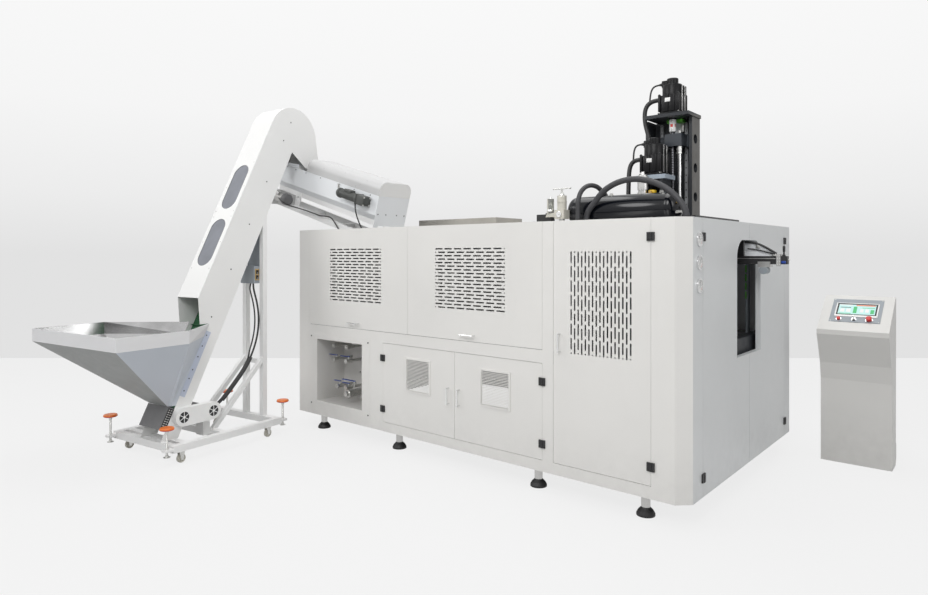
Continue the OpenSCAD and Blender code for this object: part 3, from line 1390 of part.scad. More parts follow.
// Console: side profile drawn in depth and height
module console_body() color("whitesmoke") {
    y = console_y;
    top_y = y + top_l * cos(top_angle);
    top_z = lip_z + top_l * sin(top_angle);
    side = [
        [y, lip_z], [y, lip_z - 40], [y + 120, 840], [y + 150, 700], [y + 150, 0], [top_y - 20, 0],
        [top_y + 24, 60], [top_y + 24, 180], [top_y, 190], [top_y + 20, top_z - 20], [top_y, top_z]
    ];
    difference() {
        on_end(console_x, console_w) polygon(side);
        on_end(console_x + sheet, console_w - 2 * sheet) polygon(inset(side, sheet));
        console_top() {
            bar([(console_w - plate_w) / 2 + 10, (console_w + plate_w) / 2 - 10],
                [plate_d0 + 10, plate_d0 + plate_l - 10], [-sheet - 1, 1]);
        }
    }
}
module console_top() translate([console_x, console_y, lip_z]) rotate([top_angle, 0, 0]) children();

module control_plate() color("gray") console_top() difference() {
    union() {
        bar([(console_w - plate_w) / 2, (console_w + plate_w) / 2], [plate_d0, plate_d0 + plate_l],
            [0, plate_t]);
        bar(bezel_x, bezel_d, [-30, plate_t + 6]);
    }
    bar([bezel_x[0] + 9, bezel_x[1] - 9], [bezel_d[0] + 20, bezel_d[1] - 7], [plate_t + 3, plate_t + 7]);
    for (x = button_x) translate([x, button_d, -1]) cylinder(r = 11 + fit, h = plate_t + 2);
}

// Push buttons and key switch, with a stem through the plate
module button(i, r, h) console_top() translate([button_x[i], button_d, 0]) {
    translate([0, 0, -24]) cylinder(r = 11, h = 24 + plate_t + 10);
    translate([0, 0, plate_t + 6]) cylinder(r = r, h = h);
}
module start_button() color("red") button(0, 15, 9);
module emergency_stop() color("red") button(2, 21, 22);
module key_switch() color("black") {
    button(1, 13, 8);
    console_top() translate([button_x[1] - 2, button_d - 11, plate_t + 14]) cube([4, 22, 26]);
}

module wheel_at(i) castor_wheel(castor_u[i % 2], castor_v[floor(i / 2)]);

at_datum() {
    machine_frame();
    levelling_feet();
    front_panel();
    cover_panels();
    roof_cowl();
    door_hinges();
    oven_door_left();
    oven_door_right();
    cabinet_door_left();
    cabinet_door_right();
    blow_door();
    outlet_door_front();
    outlet_door_rear();
    service_valves();
    valve_lever(0);  // valve_lever_1
    valve_lever(1);  // valve_lever_2
    valve_lever(2);  // valve_lever_3
    valve_lever(3);  // valve_lever_4
    valve_lever(4);  // valve_lever_5
    pressure_gauges();
    oven_bank();
    preform_chain();
    clamp_frame();
    mould_front();
    mould_rear();
    takeout_rail();
    takeout_gripper();
    press_tower();
    guide_rails();
    stretch_carriage();
    ball_screw();
    drive_motors();
    air_tank();
    air_regulator();
    regulator_handle();
    long_hose();
    short_hose();
    power_cables();
    elevator_base();
    castor_forks();
    wheel_at(0);  // castor_wheel_1
    wheel_at(1);  // castor_wheel_2
    wheel_at(2);  // castor_wheel_3
    wheel_at(3);  // castor_wheel_4
    jack_screws();
    conveyor_frame();
    conveyor_belt();
    casing_cover();
    casing_windows();
    hopper();
    electric_box();
    unscrambler_trough();
    unscrambler_cover();
    sorting_roller(roller_y[0]);  // sorting_roller_front
    sorting_roller(roller_y[1]);  // sorting_roller_rear
    console_body();
    control_plate();
    start_button();
    key_switch();
    emergency_stop();
}
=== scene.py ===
import bpy
import math
from mathutils import Matrix, Vector


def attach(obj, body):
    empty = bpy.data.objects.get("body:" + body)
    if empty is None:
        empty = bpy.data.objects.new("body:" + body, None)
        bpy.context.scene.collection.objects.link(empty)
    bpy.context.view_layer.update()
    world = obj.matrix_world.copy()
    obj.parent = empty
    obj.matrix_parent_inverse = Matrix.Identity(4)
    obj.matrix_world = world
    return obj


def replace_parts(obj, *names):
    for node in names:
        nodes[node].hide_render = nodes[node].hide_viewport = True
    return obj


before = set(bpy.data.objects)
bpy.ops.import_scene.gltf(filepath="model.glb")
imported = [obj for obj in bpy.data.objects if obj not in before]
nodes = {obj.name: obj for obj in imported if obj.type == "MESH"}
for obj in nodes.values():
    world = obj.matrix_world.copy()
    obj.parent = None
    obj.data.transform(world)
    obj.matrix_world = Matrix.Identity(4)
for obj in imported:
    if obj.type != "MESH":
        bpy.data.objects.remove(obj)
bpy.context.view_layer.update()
print("frame loaded:", len(nodes), "nodes")

# The four places that pieces are modelled in, as the CAD has them; each takes millimetres
cabinetPlace = Matrix.Translation((0.245, -0.1, 0))  # corner of the flat front, at the floor
elevatorPlace = cabinetPlace @ Matrix.Translation((-3.642, -1.49, 0)) @ Matrix.Rotation(math.radians(7.7), 4, "Z")
liftPlace = elevatorPlace @ Matrix.Translation((0, 0.302, 0.433)) @ Matrix.Rotation(math.radians(63.74 - 90), 4, "X")
chutePlace = cabinetPlace @ Matrix.Translation((-2.852, 0.06, 2.293)) @ Matrix.Rotation(math.radians(16.1), 4, "Y")
consolePlace = cabinetPlace @ Matrix.Translation((0.374, 2.06, 1.13)) @ Matrix.Rotation(math.radians(36.7), 4, "X")


def inMetres(*point):
    return Vector(point) / 1000


# camera
camera = {"lens": 25.53, "sensor": 36, "place": (1.93495, -4.18247, 1.76287), "turn": 40.27, "shiftY": -0.0474,
          "reach": 60}
bpy.ops.object.camera_add(location=camera["place"], rotation=(math.pi / 2, 0, math.radians(camera["turn"])))
view = bpy.context.object
view.name = "camera"
view.data.lens = camera["lens"]
view.data.sensor_width = camera["sensor"]
view.data.shift_y = camera["shiftY"]
view.data.clip_end = camera["reach"]
bpy.context.scene.camera = view
print("camera placed")


# materials: every one is built from the few nodes below
def addNode(tree, kind, sockets=(), **settings):
    node = tree.nodes.new("ShaderNode" + kind)
    for name, value in settings.items():
        setattr(node, name, value)
    for socket, value in dict(sockets).items():
        if isinstance(value, bpy.types.NodeSocket):
            tree.links.new(value, node.inputs[socket])
        else:
            node.inputs[socket].default_value = value
    return node


def startMaterial(name, colour, roughness, metallic=0.0):
    material = bpy.data.materials.new(name)
    material.use_nodes = True
    material.diffuse_color = (*colour, 1)
    shader = material.node_tree.nodes["Principled BSDF"]
    shader.inputs["Base Color"].default_value = (*colour, 1)
    shader.inputs["Roughness"].default_value = roughness
    shader.inputs["Metallic"].default_value = metallic
    return material, material.node_tree, shader


# noise on Object coordinates, stretched along the axes
def addNoise(tree, scale, detail=4.0, stretch=(1, 1, 1), rough=0.55):
    coords = addNode(tree, "TexCoord")
    mapping = addNode(tree, "Mapping", {"Vector": coords.outputs["Object"], "Scale": stretch})
    noise = addNode(tree, "TexNoise", {"Vector": mapping.outputs["Vector"], "Scale": scale, "Detail": detail,
                                       "Roughness": rough})
    return noise.outputs["Fac"]


def addRange(tree, source, low, high, fromLow=0.3, fromHigh=0.7):
    span = addNode(tree, "MapRange", {"Value": source, "From Min": fromLow, "From Max": fromHigh,
                                      "To Min": low, "To Max": high})
    return span.outputs["Result"]


def addMix(tree, factor, first, second):
    ends = [(*value, 1) if isinstance(value, tuple) else value for value in (first, second)]
    return addNode(tree, "Mix", {0: factor, 6: ends[0], 7: ends[1]}, data_type="RGBA").outputs[2]


def addBump(tree, shader, height, strength, distance):
    bump = addNode(tree, "Bump", {"Height": height, "Strength": strength, "Distance": distance})
    tree.links.new(bump.outputs["Normal"], shader.inputs["Normal"])


def shaded(colour, share):
    return tuple(channel * share for channel in colour)


# the colour wanders between a share of itself and itself as the noise does
def driftColour(tree, shader, noise, colour, share):
    tone = addMix(tree, addRange(tree, noise, 0, 1), shaded(colour, share), colour)
    tree.links.new(tone, shader.inputs["Base Color"])
    return tone


def driftRoughness(tree, shader, noise, low, high):
    tree.links.new(addRange(tree, noise, low, high), shader.inputs["Roughness"])


# stoved paint on sheet steel: slow drift in tone, fine orange peel and a speckled darkening towards the bottom
def paintedSheet(name, colour, roughness=0.38, drift=0.95, peel=0.12, lowDarkening=0.9, sheen=0.5):
    material, tree, shader = startMaterial(name, colour, roughness)
    shader.inputs["Specular IOR Level"].default_value = sheen
    tone = driftColour(tree, shader, addNoise(tree, 1.1, 3), colour, drift)
    place = addNode(tree, "SeparateXYZ", {"Vector": addNode(tree, "TexCoord").outputs["Object"]})
    low = addRange(tree, place.outputs["Z"], 1, 0, 0.1, 0.55)
    speckle = addNoise(tree, 14, 6)
    lowSpots = addNode(tree, "Math", {0: low, 1: addRange(tree, speckle, 0.2, 1)}, operation="MULTIPLY")
    tree.links.new(addMix(tree, lowSpots.outputs[0], tone, shaded(colour, lowDarkening)), shader.inputs["Base Color"])
    driftRoughness(tree, shader, speckle, roughness * 0.9, roughness * 1.15)
    addBump(tree, shader, addNoise(tree, 420, 2), peel, 0.0004)
    return material


# metal with a drawn or brushed grain along one axis
def grainedMetal(name, colour, roughness, grain=(1, 1, 30), scale=18, drift=0.86):
    material, tree, shader = startMaterial(name, colour, roughness, 1.0)
    streaks = addNoise(tree, scale, 8, grain, 0.7)
    driftColour(tree, shader, addNoise(tree, 3.5, 4), colour, drift)
    driftRoughness(tree, shader, streaks, roughness * 0.7, roughness * 1.35)
    addBump(tree, shader, streaks, 0.08, 0.0003)
    return material


# moulded plastic or rubber: fine grain and a scuffed sheen
def mouldedPlastic(name, colour, roughness=0.45, grain=260, depth=0.25, drift=0.8):
    material, tree, shader = startMaterial(name, colour, roughness)
    scuffs = addNoise(tree, 9, 6)
    driftColour(tree, shader, scuffs, colour, drift)
    driftRoughness(tree, shader, scuffs, roughness * 0.85, roughness * 1.2)
    addBump(tree, shader, addNoise(tree, grain, 3), depth, 0.0004)
    return material


# clear or smoked sheet: a little of what is behind it shows
def clearSheet(name, colour, through, roughness=0.12):
    material, tree, shader = startMaterial(name, colour, roughness)
    driftColour(tree, shader, addNoise(tree, 6, 3), colour, 0.85)
    shader.inputs["Transmission Weight"].default_value = through
    shader.inputs["IOR"].default_value = 1.3
    return material


# even colour for small printed or lit marks, with a trace of the print's grain
def printedMark(name, colour, glow=0.0):
    material, tree, shader = startMaterial(name, colour, 0.4)
    driftColour(tree, shader, addNoise(tree, 900, 2), colour, 0.92)
    if glow:
        shader.inputs["Emission Color"].default_value = (*colour, 1)
        shader.inputs["Emission Strength"].default_value = glow
    return material


# each maker's table: colour, roughness and the rest of its settings, by finish
paints = {
    "panelWhite": ((0.80, 0.79, 0.765), 0.36),
    # darker, bluer copy of the panel white: painted shade for the end faces, the end covers and the end doors
    "endWhite": ((0.72, 0.735, 0.74), 0.36),
    "coverWhite": ((0.56, 0.56, 0.56), 0.3),
    "casingWhite": ((0.84, 0.84, 0.83), 0.34),
    "baseWhite": ((0.84, 0.84, 0.835), 0.42, 0.97, 0.12, 0.98),
    "recessGrey": ((0.62, 0.61, 0.59), 0.5),
    "troughGrey": ((0.82, 0.84, 0.86), 0.4),
    "railGrey": ((0.34, 0.35, 0.36), 0.3, 0.9),
    "standGrey": ((0.36, 0.42, 0.48), 0.4),
    "consoleWhite": ((0.68, 0.672, 0.65), 0.42),
    "plateGrey": ((0.30, 0.33, 0.36), 0.45),
    "frameGrey": ((0.16, 0.16, 0.165), 0.5),
    "ovenDark": ((0.03, 0.033, 0.036), 0.55),
    "towerPaint": ((0.030, 0.033, 0.038), 0.42, 0.8, 0.3, 0.9, 0.3),
    "carriagePaint": ((0.035, 0.042, 0.052), 0.4, 0.8, 0.3),
    "sidePlate": ((0.085, 0.08, 0.072), 0.45, 0.85, 0.3),
    "motorBlack": ((0.006, 0.006, 0.007), 0.34, 0.8, 0.35, 0.9, 0.2),
    "motorOlive": ((0.062, 0.066, 0.062), 0.45, 0.8, 0.3),
    "tankBlack": ((0.004, 0.005, 0.008), 0.14, 0.8, 0.1, 0.9, 0.35),
    "blackPaint": ((0.018, 0.018, 0.019), 0.42, 0.8, 0.3),
    "hopperPaint": ((0.31, 0.32, 0.315), 0.5, 0.94),
    "hopperSide": ((0.58, 0.62, 0.68), 0.45, 0.94),
    "hopperRim": ((0.72, 0.72, 0.73), 0.4, 0.95),
    "filmBlue": ((0.55, 0.60, 0.72), 0.3),
}
metals = {
    "screwSteel": ((0.13, 0.13, 0.14), 0.35, (1, 1, 1), 60, 0.8),
    "satinSteel": ((0.56, 0.555, 0.545), 0.34),
    "hopperSteel": ((0.55, 0.55, 0.55), 0.16, (30, 30, 1), 12, 0.7),
    "cowlSteel": ((0.46, 0.44, 0.40), 0.35, (30, 1, 30), 12, 0.8),
    "rollerSteel": ((0.62, 0.62, 0.62), 0.2, (40, 1, 40)),
    "mouldAlloy": ((0.50, 0.53, 0.57), 0.4, (1, 1, 20)),
    "chrome": ((0.80, 0.80, 0.80), 0.12, (1, 1, 1), 60, 0.95),
    "zinc": ((0.62, 0.62, 0.60), 0.3, (1, 1, 1), 90, 0.85),
    "brass": ((0.62, 0.42, 0.16), 0.3, (1, 1, 1), 80, 0.85),
    "darkBolt": ((0.06, 0.06, 0.065), 0.4, (1, 1, 1), 90, 0.8),
}
plastics = {
    "blueGrip": ((0.012, 0.06, 0.36), 0.35),
    "blackRubber": ((0.016, 0.016, 0.017), 0.6),
    "hoseRubber": ((0.040, 0.040, 0.044), 0.55, 500, 0.4),
    "cableJacket": ((0.017, 0.017, 0.018), 0.5),
    "blackPlastic": ((0.014, 0.014, 0.015), 0.4),
    "ivoryPlastic": ((0.62, 0.60, 0.53), 0.45, 200, 0.15, 0.9),
    "orangePlastic": ((0.86, 0.20, 0.03), 0.4, 200, 0.2, 0.85),
    "redPlastic": ((0.60, 0.02, 0.015), 0.3, 200, 0.1, 0.9),
    "greenBelt": ((0.012, 0.10, 0.035), 0.5, 300, 0.5, 0.8),
    "greenPlastic": ((0.12, 0.50, 0.05), 0.45),
    "yellowPlastic": ((0.75, 0.50, 0.03), 0.4),
}
sheets = {
    "smokedWindow": ((0.33, 0.345, 0.385), 0.25),
    "clearBowl": ((0.80, 0.82, 0.80), 0.75),
}
prints = {
    "whitePrint": ((0.86, 0.86, 0.85),),
    "blackPrint": ((0.02, 0.02, 0.02),),
    "redPrint": ((0.60, 0.03, 0.02),),
    "screenPale": ((0.42, 0.66, 0.64), 0.25),
    "screenGreen": ((0.05, 0.42, 0.14), 0.2),
    "screenAmber": ((0.75, 0.14, 0.05), 0.2),
}
finish = {}
for make, table in ((paintedSheet, paints), (grainedMetal, metals), (mouldedPlastic, plastics),
                    (clearSheet, sheets), (printedMark, prints)):
    for key, settings in table.items():
        materialName = "".join("_" + letter.lower() if letter.isupper() else letter for letter in key)
        finish[key] = make(materialName, *settings)
print("materials made:", len(finish))


# ways of modelling
def clearPick():
    if bpy.context.mode != "OBJECT":
        bpy.ops.object.mode_set(mode="OBJECT")
    bpy.ops.object.select_all(action="DESELECT")


def pick(*chosen):
    clearPick()
    for one in chosen:
        one.select_set(True)
    bpy.context.view_layer.objects.active = chosen[0]


def setInMesh():
    bpy.ops.object.transform_apply(location=True, rotation=True, scale=True)


def editAll():
    bpy.ops.object.mode_set(mode="EDIT")
    bpy.ops.mesh.select_all(action="SELECT")


# leaves edit mode with every face turned outwards
def closeEdit():
    bpy.ops.mesh.select_all(action="SELECT")
    bpy.ops.mesh.normals_make_consistent(inside=False)
    bpy.ops.object.mode_set(mode="OBJECT")


def scaleAcross(shareX, shareY, height=0):
    bpy.ops.transform.resize(value=(shareX, shareY, 1), center_override=(0, 0, height))


def dress(piece, material):
    piece.data.materials.clear()
    piece.data.materials.append(finish[material])
    return piece


# turns a piece about the origin, moves it to its spot and sets both in its mesh
def setTurned(piece, turn, spot):
    piece.rotation_euler = turn
    piece.location = inMetres(*spot)
    pick(piece)
    setInMesh()
    return piece


# rounds the edges that are sharper than 40 degrees
def softenEdges(piece, width, steps=2):
    pick(piece)
    bpy.ops.object.mode_set(mode="EDIT")
    bpy.ops.mesh.select_mode(type="EDGE")
    bpy.ops.mesh.select_all(action="DESELECT")
    bpy.ops.mesh.edges_select_sharp(sharpness=math.radians(40))
    bpy.ops.mesh.bevel(offset=width / 1000, segments=steps, affect="EDGES")
    bpy.ops.object.mode_set(mode="OBJECT")
    return piece


def block(x, y, z, material, edge=1.5, steps=2):
    clearPick()
    centre = inMetres(sum(x) / 2, sum(y) / 2, sum(z) / 2)
    size = inMetres(x[1] - x[0], y[1] - y[0], z[1] - z[0])
    bpy.ops.mesh.primitive_cube_add(size=1, location=centre, scale=size)
    setInMesh()
    piece = dress(bpy.context.object, material)
    return softenEdges(piece, edge, steps) if edge else piece


axisTurn = {"x": (0, math.pi / 2, 0), "-x": (0, -math.pi / 2, 0),
            "y": (-math.pi / 2, 0, 0), "-y": (math.pi / 2, 0, 0), "z": (0, 0, 0)}


# round piece grown ring by ring along an axis: steps are (distance, radius) from its start
def turned(start, axis, steps, material, sides=24):
    clearPick()
    away, radius = steps[0]
    bpy.ops.mesh.primitive_circle_add(vertices=sides, radius=radius / 1000, fill_type="NGON",
                                      location=(0, 0, away / 1000))
    setInMesh()
    piece = bpy.context.object
    editAll()
    for nextAway, nextRadius in steps[1:]:
        rise = (nextAway - away) / 1000
        bpy.ops.mesh.extrude_region_move(TRANSFORM_OT_translate={"value": (0, 0, rise)})
        scaleAcross(nextRadius / radius, nextRadius / radius, nextAway / 1000)
        away, radius = nextAway, nextRadius
    closeEdit()
    return dress(setTurned(piece, axisTurn[axis], start), material)


def rod(start, axis, length, radius, material, sides=20, edge=1.0):
    steps = [(0, radius - edge), (edge, radius), (length - edge, radius), (length, radius - edge)]
    return turned(start, axis, steps, material, sides)


# ring with a square section, from its inner and outer radius
def ringOf(start, axis, length, inner, outer, material, sides=32):
    clearPick()
    bpy.ops.mesh.primitive_circle_add(vertices=sides, radius=outer / 1000)
    piece = bpy.context.object
    editAll()
    bpy.ops.mesh.extrude_edges_move()
    scaleAcross(inner / outer, inner / outer)
    bpy.ops.object.mode_set(mode="OBJECT")
    wall = piece.modifiers.new("wall", "SOLIDIFY")
    wall.thickness = length / 1000
    wall.offset = 0
    bpy.ops.object.modifier_apply(modifier="wall")
    editAll()
    closeEdit()
    piece.location = (0, 0, length / 2000)
    setInMesh()
    return dress(setTurned(piece, axisTurn[axis], start), material)


# copies with their own meshes, each moved by a distance in millimetres
def copies(piece, moves):
    made = []
    for move in moves:
        one = piece.copy()
        one.data = piece.data.copy()
        one.data.transform(Matrix.Translation(inMetres(*move)))
        bpy.context.collection.objects.link(one)
        made.append(one)
    return made


def copiesAt(piece, places):
    made = copies(piece, places)
    bpy.data.objects.remove(piece)
    return made


# several pieces of one kind, from the rows of a list
def each(make, rows):
    return [make(*row) for row in rows]


# every spot of a grid, from its places along three axes
def grid(xs, ys, zs):
    return [(x, y, z) for x in xs for y in ys for z in zs]


# profile of a body with fins or a thread: the steps of one fin, repeated along it between two plain ends
def finned(start, count, pitch, fin, end):
    return start + [(away + k * pitch, radius) for k in range(count) for away, radius in fin] + end


screwHead = {"radius": 5, "height": 2.6, "socket": 2.6}


# domed cap screws with their sockets, standing off a face along an axis
def screws(axis, size, spots, material="darkBolt"):
    r, h, inner = (screwHead[key] * size for key in ("radius", "height", "socket"))
    head = [(0, r), (h * 0.55, r), (h, r * 0.72), (h, inner), (h * 0.35, inner * 0.9)]
    return copiesAt(turned((0, 0, 0), axis, head, material, 10), spots)


def placeAt(x, y, z, place=cabinetPlace):
    return place @ Matrix.Translation(inMetres(x, y, z))


# joins parts into one named piece, sets it in its place and lets it ride on a body
def assemble(name, parts, body, place=cabinetPlace, angle=35):
    pick(*parts)
    if len(parts) > 1:
        bpy.ops.object.join()
    piece = bpy.context.object
    piece.name = name
    piece.data.name = name
    piece.matrix_world = place
    setInMesh()
    bpy.ops.object.shade_smooth_by_angle(angle=math.radians(angle))
    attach(piece, body)
    return piece


# round line through a route, as a curve
def flexible(name, route, radius, material, place=cabinetPlace, rings=12):
    path = bpy.data.curves.new(name, "CURVE")
    path.dimensions = "3D"
    path.bevel_depth = radius / 1000
    path.bevel_resolution = rings // 2
    path.use_fill_caps = True
    path.resolution_u = 8
    line = path.splines.new("NURBS")
    line.points.add(len(route) - 1)
    for spot, point in zip(line.points, route):
        spot.co = (*(place @ inMetres(*point)), 1)
    line.use_endpoint_u = True
    line.order_u = 3
    path.materials.append(finish[material])
    piece = bpy.data.objects.new(name, path)
    bpy.context.collection.objects.link(piece)
    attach(piece, "machine")
    return piece


def cableOf(name, route, radius, place=cabinetPlace):
    return flexible(name, route, radius, "cableJacket", place)


# cords: the two pressure hoses on the roof
longRoute = [
    (-840, 342, 1990), (-840, 342, 2035), (-820, 342, 2090), (-774, 345, 2142), (-738, 346, 2187),
    (-694, 347, 2231), (-636, 348, 2266), (-567, 350, 2292), (-496, 352, 2303), (-430, 354, 2302),
    (-363, 356, 2290), (-299, 358, 2268), (-238, 360, 2238), (-185, 362, 2200), (-137, 364, 2154),
    (-100, 366, 2106), (-70, 367, 2045), (-70, 367, 1990)]
shortRoute = [
    (-880, 290, 1990), (-880, 290, 2050), (-880, 290, 2110), (-880, 290, 2150), (-876, 300, 2203),
    (-867, 329, 2249), (-852, 372, 2280), (-834, 423, 2290), (-817, 474, 2280), (-805, 509, 2257),
    (-797, 533, 2230)]


# length in metres of the curve as it is drawn
def drawnLength(piece):
    shown = piece.copy()
    shown.data = piece.data.copy()
    shown.data.bevel_depth = 0
    bpy.context.collection.objects.link(shown)
    bpy.context.view_layer.update()
    line = shown.evaluated_get(bpy.context.evaluated_depsgraph_get()).to_mesh()
    spots = [vertex.co.copy() for vertex in line.vertices]
    bpy.data.objects.remove(shown)
    return sum((b - a).length for a, b in zip(spots, spots[1:]))


for name, route, radius in (("long_hose", longRoute, 22), ("short_hose", shortRoute, 18)):
    hose = flexible(name + "_cord", route, radius, "hoseRubber")
    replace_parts(hose, name)
    hoseLength = round(drawnLength(hose), 3)
    print(name, "is", hoseLength, "m long")
print("cords made")


# finishes of the CAD nodes
# the rules after a node's main finish give a face another one where its centre, in millimetres, passes
def paint(nodeName, main, *rules, place=cabinetPlace):
    mesh = nodes[nodeName].data
    mesh.materials.clear()
    for material in [main] + [rule[0] for rule in rules]:
        mesh.materials.append(finish[material])
    back = place.inverted()
    for face in mesh.polygons:
        spot = back @ face.center * 1000
        facing = back.to_3x3() @ face.normal
        face.material_index = 0
        for number, (_, test) in enumerate(rules, 1):
            if test(spot, facing):
                face.material_index = number
    mesh.update()


# heights of the hinges
frontTrim = {"lowHinges": (357, 817), "blowHinges": (364, 1875), "endHinges": (280, 1873)}


def nearHinge(lineX, heights):
    def test(spot, facing):
        return spot.y < -0.2 and abs(spot.x - lineX) < 28.5 and any(abs(spot.z - z) < 30 for z in heights)
    return test


def endHinge(lineY):
    def test(spot, facing):
        high = any(abs(spot.z - z) < 30 for z in frontTrim["endHinges"])
        return spot.x > 84.2 and abs(spot.y - lineY) < 28.5 and high
    return test


# inside of the recess for the service valves
def recessHas(spot):
    return -3702 < spot.x < -3018 and 288 < spot.z < 914


paint("machine_frame", "frameGrey")
paint("levelling_feet", "blackRubber", ("satinSteel", lambda p, n: p.z > 57))
# the front panel's end faces take the darker, bluer copy of the panel white: painted shade on the faces turned to the
# end
paint("front_panel", "panelWhite", ("endWhite", lambda p, n: p.x > 83 and n.x > 0.9),
      # the inside of the valve recess is a darker grey than the front: painted shade in the recess
      ("recessGrey", lambda p, n: p.y > 3.5 and recessHas(p)),
      # the front sheet's inner faces, seen through its openings, are near black: painted shade inside the cabinet
      ("ovenDark", lambda p, n: n.y > 0.9 and p.y > 2 and p.y < 6))
paint("cover_panels", "endWhite", ("satinSteel", lambda p, n: n.z > 0.9 and p.z < 1999))
paint("roof_cowl", "cowlSteel")
paint("door_hinges", "blackPaint", ("zinc", lambda p, n: p.y > 2 and p.x < 50))
for name in ("oven_door_left", "oven_door_right"):
    paint(name, "panelWhite", ("chrome", lambda p, n: p.y < -1), ("zinc", lambda p, n: p.y > 11 and p.z > 1977))
for name, line in (("cabinet_door_left", -2733), ("cabinet_door_right", -1011)):
    handleX = line + 801 if name.endswith("left") else line - 806
    paint(name, "panelWhite",
          ("chrome", lambda p, n, x=handleX: p.y < -1 and abs(p.x - x) < 12),
          ("blackPaint", nearHinge(line, frontTrim["lowHinges"])))
paint("blow_door", "panelWhite", ("chrome", lambda p, n: p.y < -1 and p.x < -800),
      ("blackPaint", nearHinge(-163, frontTrim["blowHinges"])))
for name, line in (("outlet_door_front", 257), ("outlet_door_rear", 2207)):
    paint(name, "endWhite", ("blackPaint", endHinge(line)))
paint("service_valves", "zinc", ("satinSteel", lambda p, n: p.y > 185 and p.z < 720))
for number in range(1, 6):
    paint(f"valve_lever_{number}", "blueGrip")
paint("pressure_gauges", "chrome")
paint("oven_bank", "satinSteel", ("ivoryPlastic", lambda p, n: p.z > 1100 and 555 < p.y < 565 or 805 < p.y < 815))
paint("preform_chain", "satinSteel", ("blackPlastic", lambda p, n: p.z > 1149))
paint("clamp_frame", "towerPaint", ("chrome", lambda p, n: 620 < p.y < 1580 and p.z > 1110 and p.x < 0))
paint("mould_front", "mouldAlloy")
paint("mould_rear", "mouldAlloy")
paint("takeout_rail", "blackPaint", ("troughGrey", lambda p, n: 1270 < p.y < 1279 and p.z > 1743),
      ("satinSteel", lambda p, n: p.x > 268 and p.x < 302 and (p.y < 1270 or p.z > 1743.5)))
paint("takeout_gripper", "satinSteel", ("plateGrey", lambda p, n: p.z < 1658))
paint("press_tower", "towerPaint", ("sidePlate", lambda p, n: p.x > -326 and p.y > 1055 and p.z > 1996 and n.x > 0.5),
      ("standGrey", lambda p, n: 2340 < p.z < 2390 and p.y < 1020),
      ("blackPlastic", lambda p, n: p.x > -26 and p.z < 2030))
paint("guide_rails", "railGrey")
paint("stretch_carriage", "carriagePaint", ("rollerSteel", lambda p, n: p.z < 2624.5 and abs(p.x + 405) < 17),
      ("satinSteel", lambda p, n: 2560 < p.z < 2624.5))
paint("ball_screw", "chrome", ("whitePrint", lambda p, n: p.z > 2742))
paint("air_regulator", "ivoryPlastic", ("blackPlastic", lambda p, n: p.y > 344 or p.x < -1150),
      ("clearBowl", lambda p, n: -1134 < p.x < -1074 and p.z > 2080.5),
      ("zinc", lambda p, n: p.z < 2029 and p.y < 340 and p.x > -1100))
paint("regulator_handle", "zinc")
paint("elevator_base", "baseWhite")
paint("castor_forks", "zinc")
for number in range(1, 5):
    paint(f"castor_wheel_{number}", "ivoryPlastic")
paint("jack_screws", "zinc", ("orangePlastic", lambda p, n: p.z > 309))
paint("conveyor_frame", "casingWhite")
paint("conveyor_belt", "greenBelt", ("satinSteel", lambda p, n: n.length > 0 and (abs(p.x + 350) > 141.5)),
      place=liftPlace)
paint("casing_cover", "casingWhite")
paint("casing_windows", "smokedWindow")


# the funnel's sheets face its middle on their inner sides
def insideHopper(spot, facing):
    middle = Vector((lift["u"], -lift["channel"] - 180, 330))
    return facing.dot(middle - spot) > 0


lift = {"u": -350, "channel": 144}
# the rim band stands upright, and the near sheet faces along the width; both are painted lighter than the sloping
# sheets, as painted light
liftTurn = liftPlace.inverted() @ elevatorPlace


def onHopperRim(spot, facing):
    return (liftTurn.inverted() @ (spot / 1000)).z > 1.022


def onHopperSide(spot, facing):
    return facing.x > 0.45 and spot.z > -60


# the hopper's outside is one light grey paint in three tones: painted shade on the sloping sheets that face down, and
# painted light on the side sheet (also bluer) and on the rim band
paint("hopper", "hopperPaint", ("hopperSide", onHopperSide), ("hopperRim", onHopperRim),
      ("hopperSteel", insideHopper),
      ("filmBlue", lambda p, n: abs(p.x - lift["u"]) > 150.2 and abs(p.x - lift["u"]) < 153.8 and p.y > -147),
      ("frameGrey", lambda p, n: p.z < -60 and p.y > -205 and abs(p.x - lift["u"]) < 151), place=liftPlace)
paint("electric_box", "plateGrey")
paint("unscrambler_trough", "troughGrey", ("baseWhite", lambda p, n: p.z < -244), place=chutePlace)
# the cover's end faces take the lighter casing white: painted light on the ends, where the lamps fall on them
paint("unscrambler_cover", "coverWhite", ("casingWhite", lambda p, n: n.x > 0.9), place=chutePlace)
paint("sorting_roller_front", "rollerSteel")
paint("sorting_roller_rear", "rollerSteel")
paint("console_body", "consoleWhite")
paint("control_plate", "plateGrey", ("whitePrint", lambda p, n: p.z > 4.5),
      ("blackPrint", lambda p, n: 3 < p.z < 9.9 and 114 < p.x < 409 and 187 < p.y < 334), place=consolePlace)
paint("start_button", "redPlastic", ("blackPlastic", lambda p, n: p.z < 9.5), place=consolePlace)
paint("key_switch", "blackPlastic", ("chrome", lambda p, n: p.z > 17.5), place=consolePlace)
paint("emergency_stop", "redPlastic", ("blackPlastic", lambda p, n: p.z < 10.5), place=consolePlace)
print("CAD nodes finished")


# cabinet: screws, gauges and the outlet
recess = {"x": (-3812, -2908), "z": (235, 960), "in": 26, "off": -2}
corners = [(x, recess["off"], z) for x in (recess["x"][0] + recess["in"], recess["x"][1] - recess["in"])
           for z in (recess["z"][0] + recess["in"], recess["z"][1] - recess["in"])]
assemble("recess_screws", screws("-y", 1.5, corners), "machine")

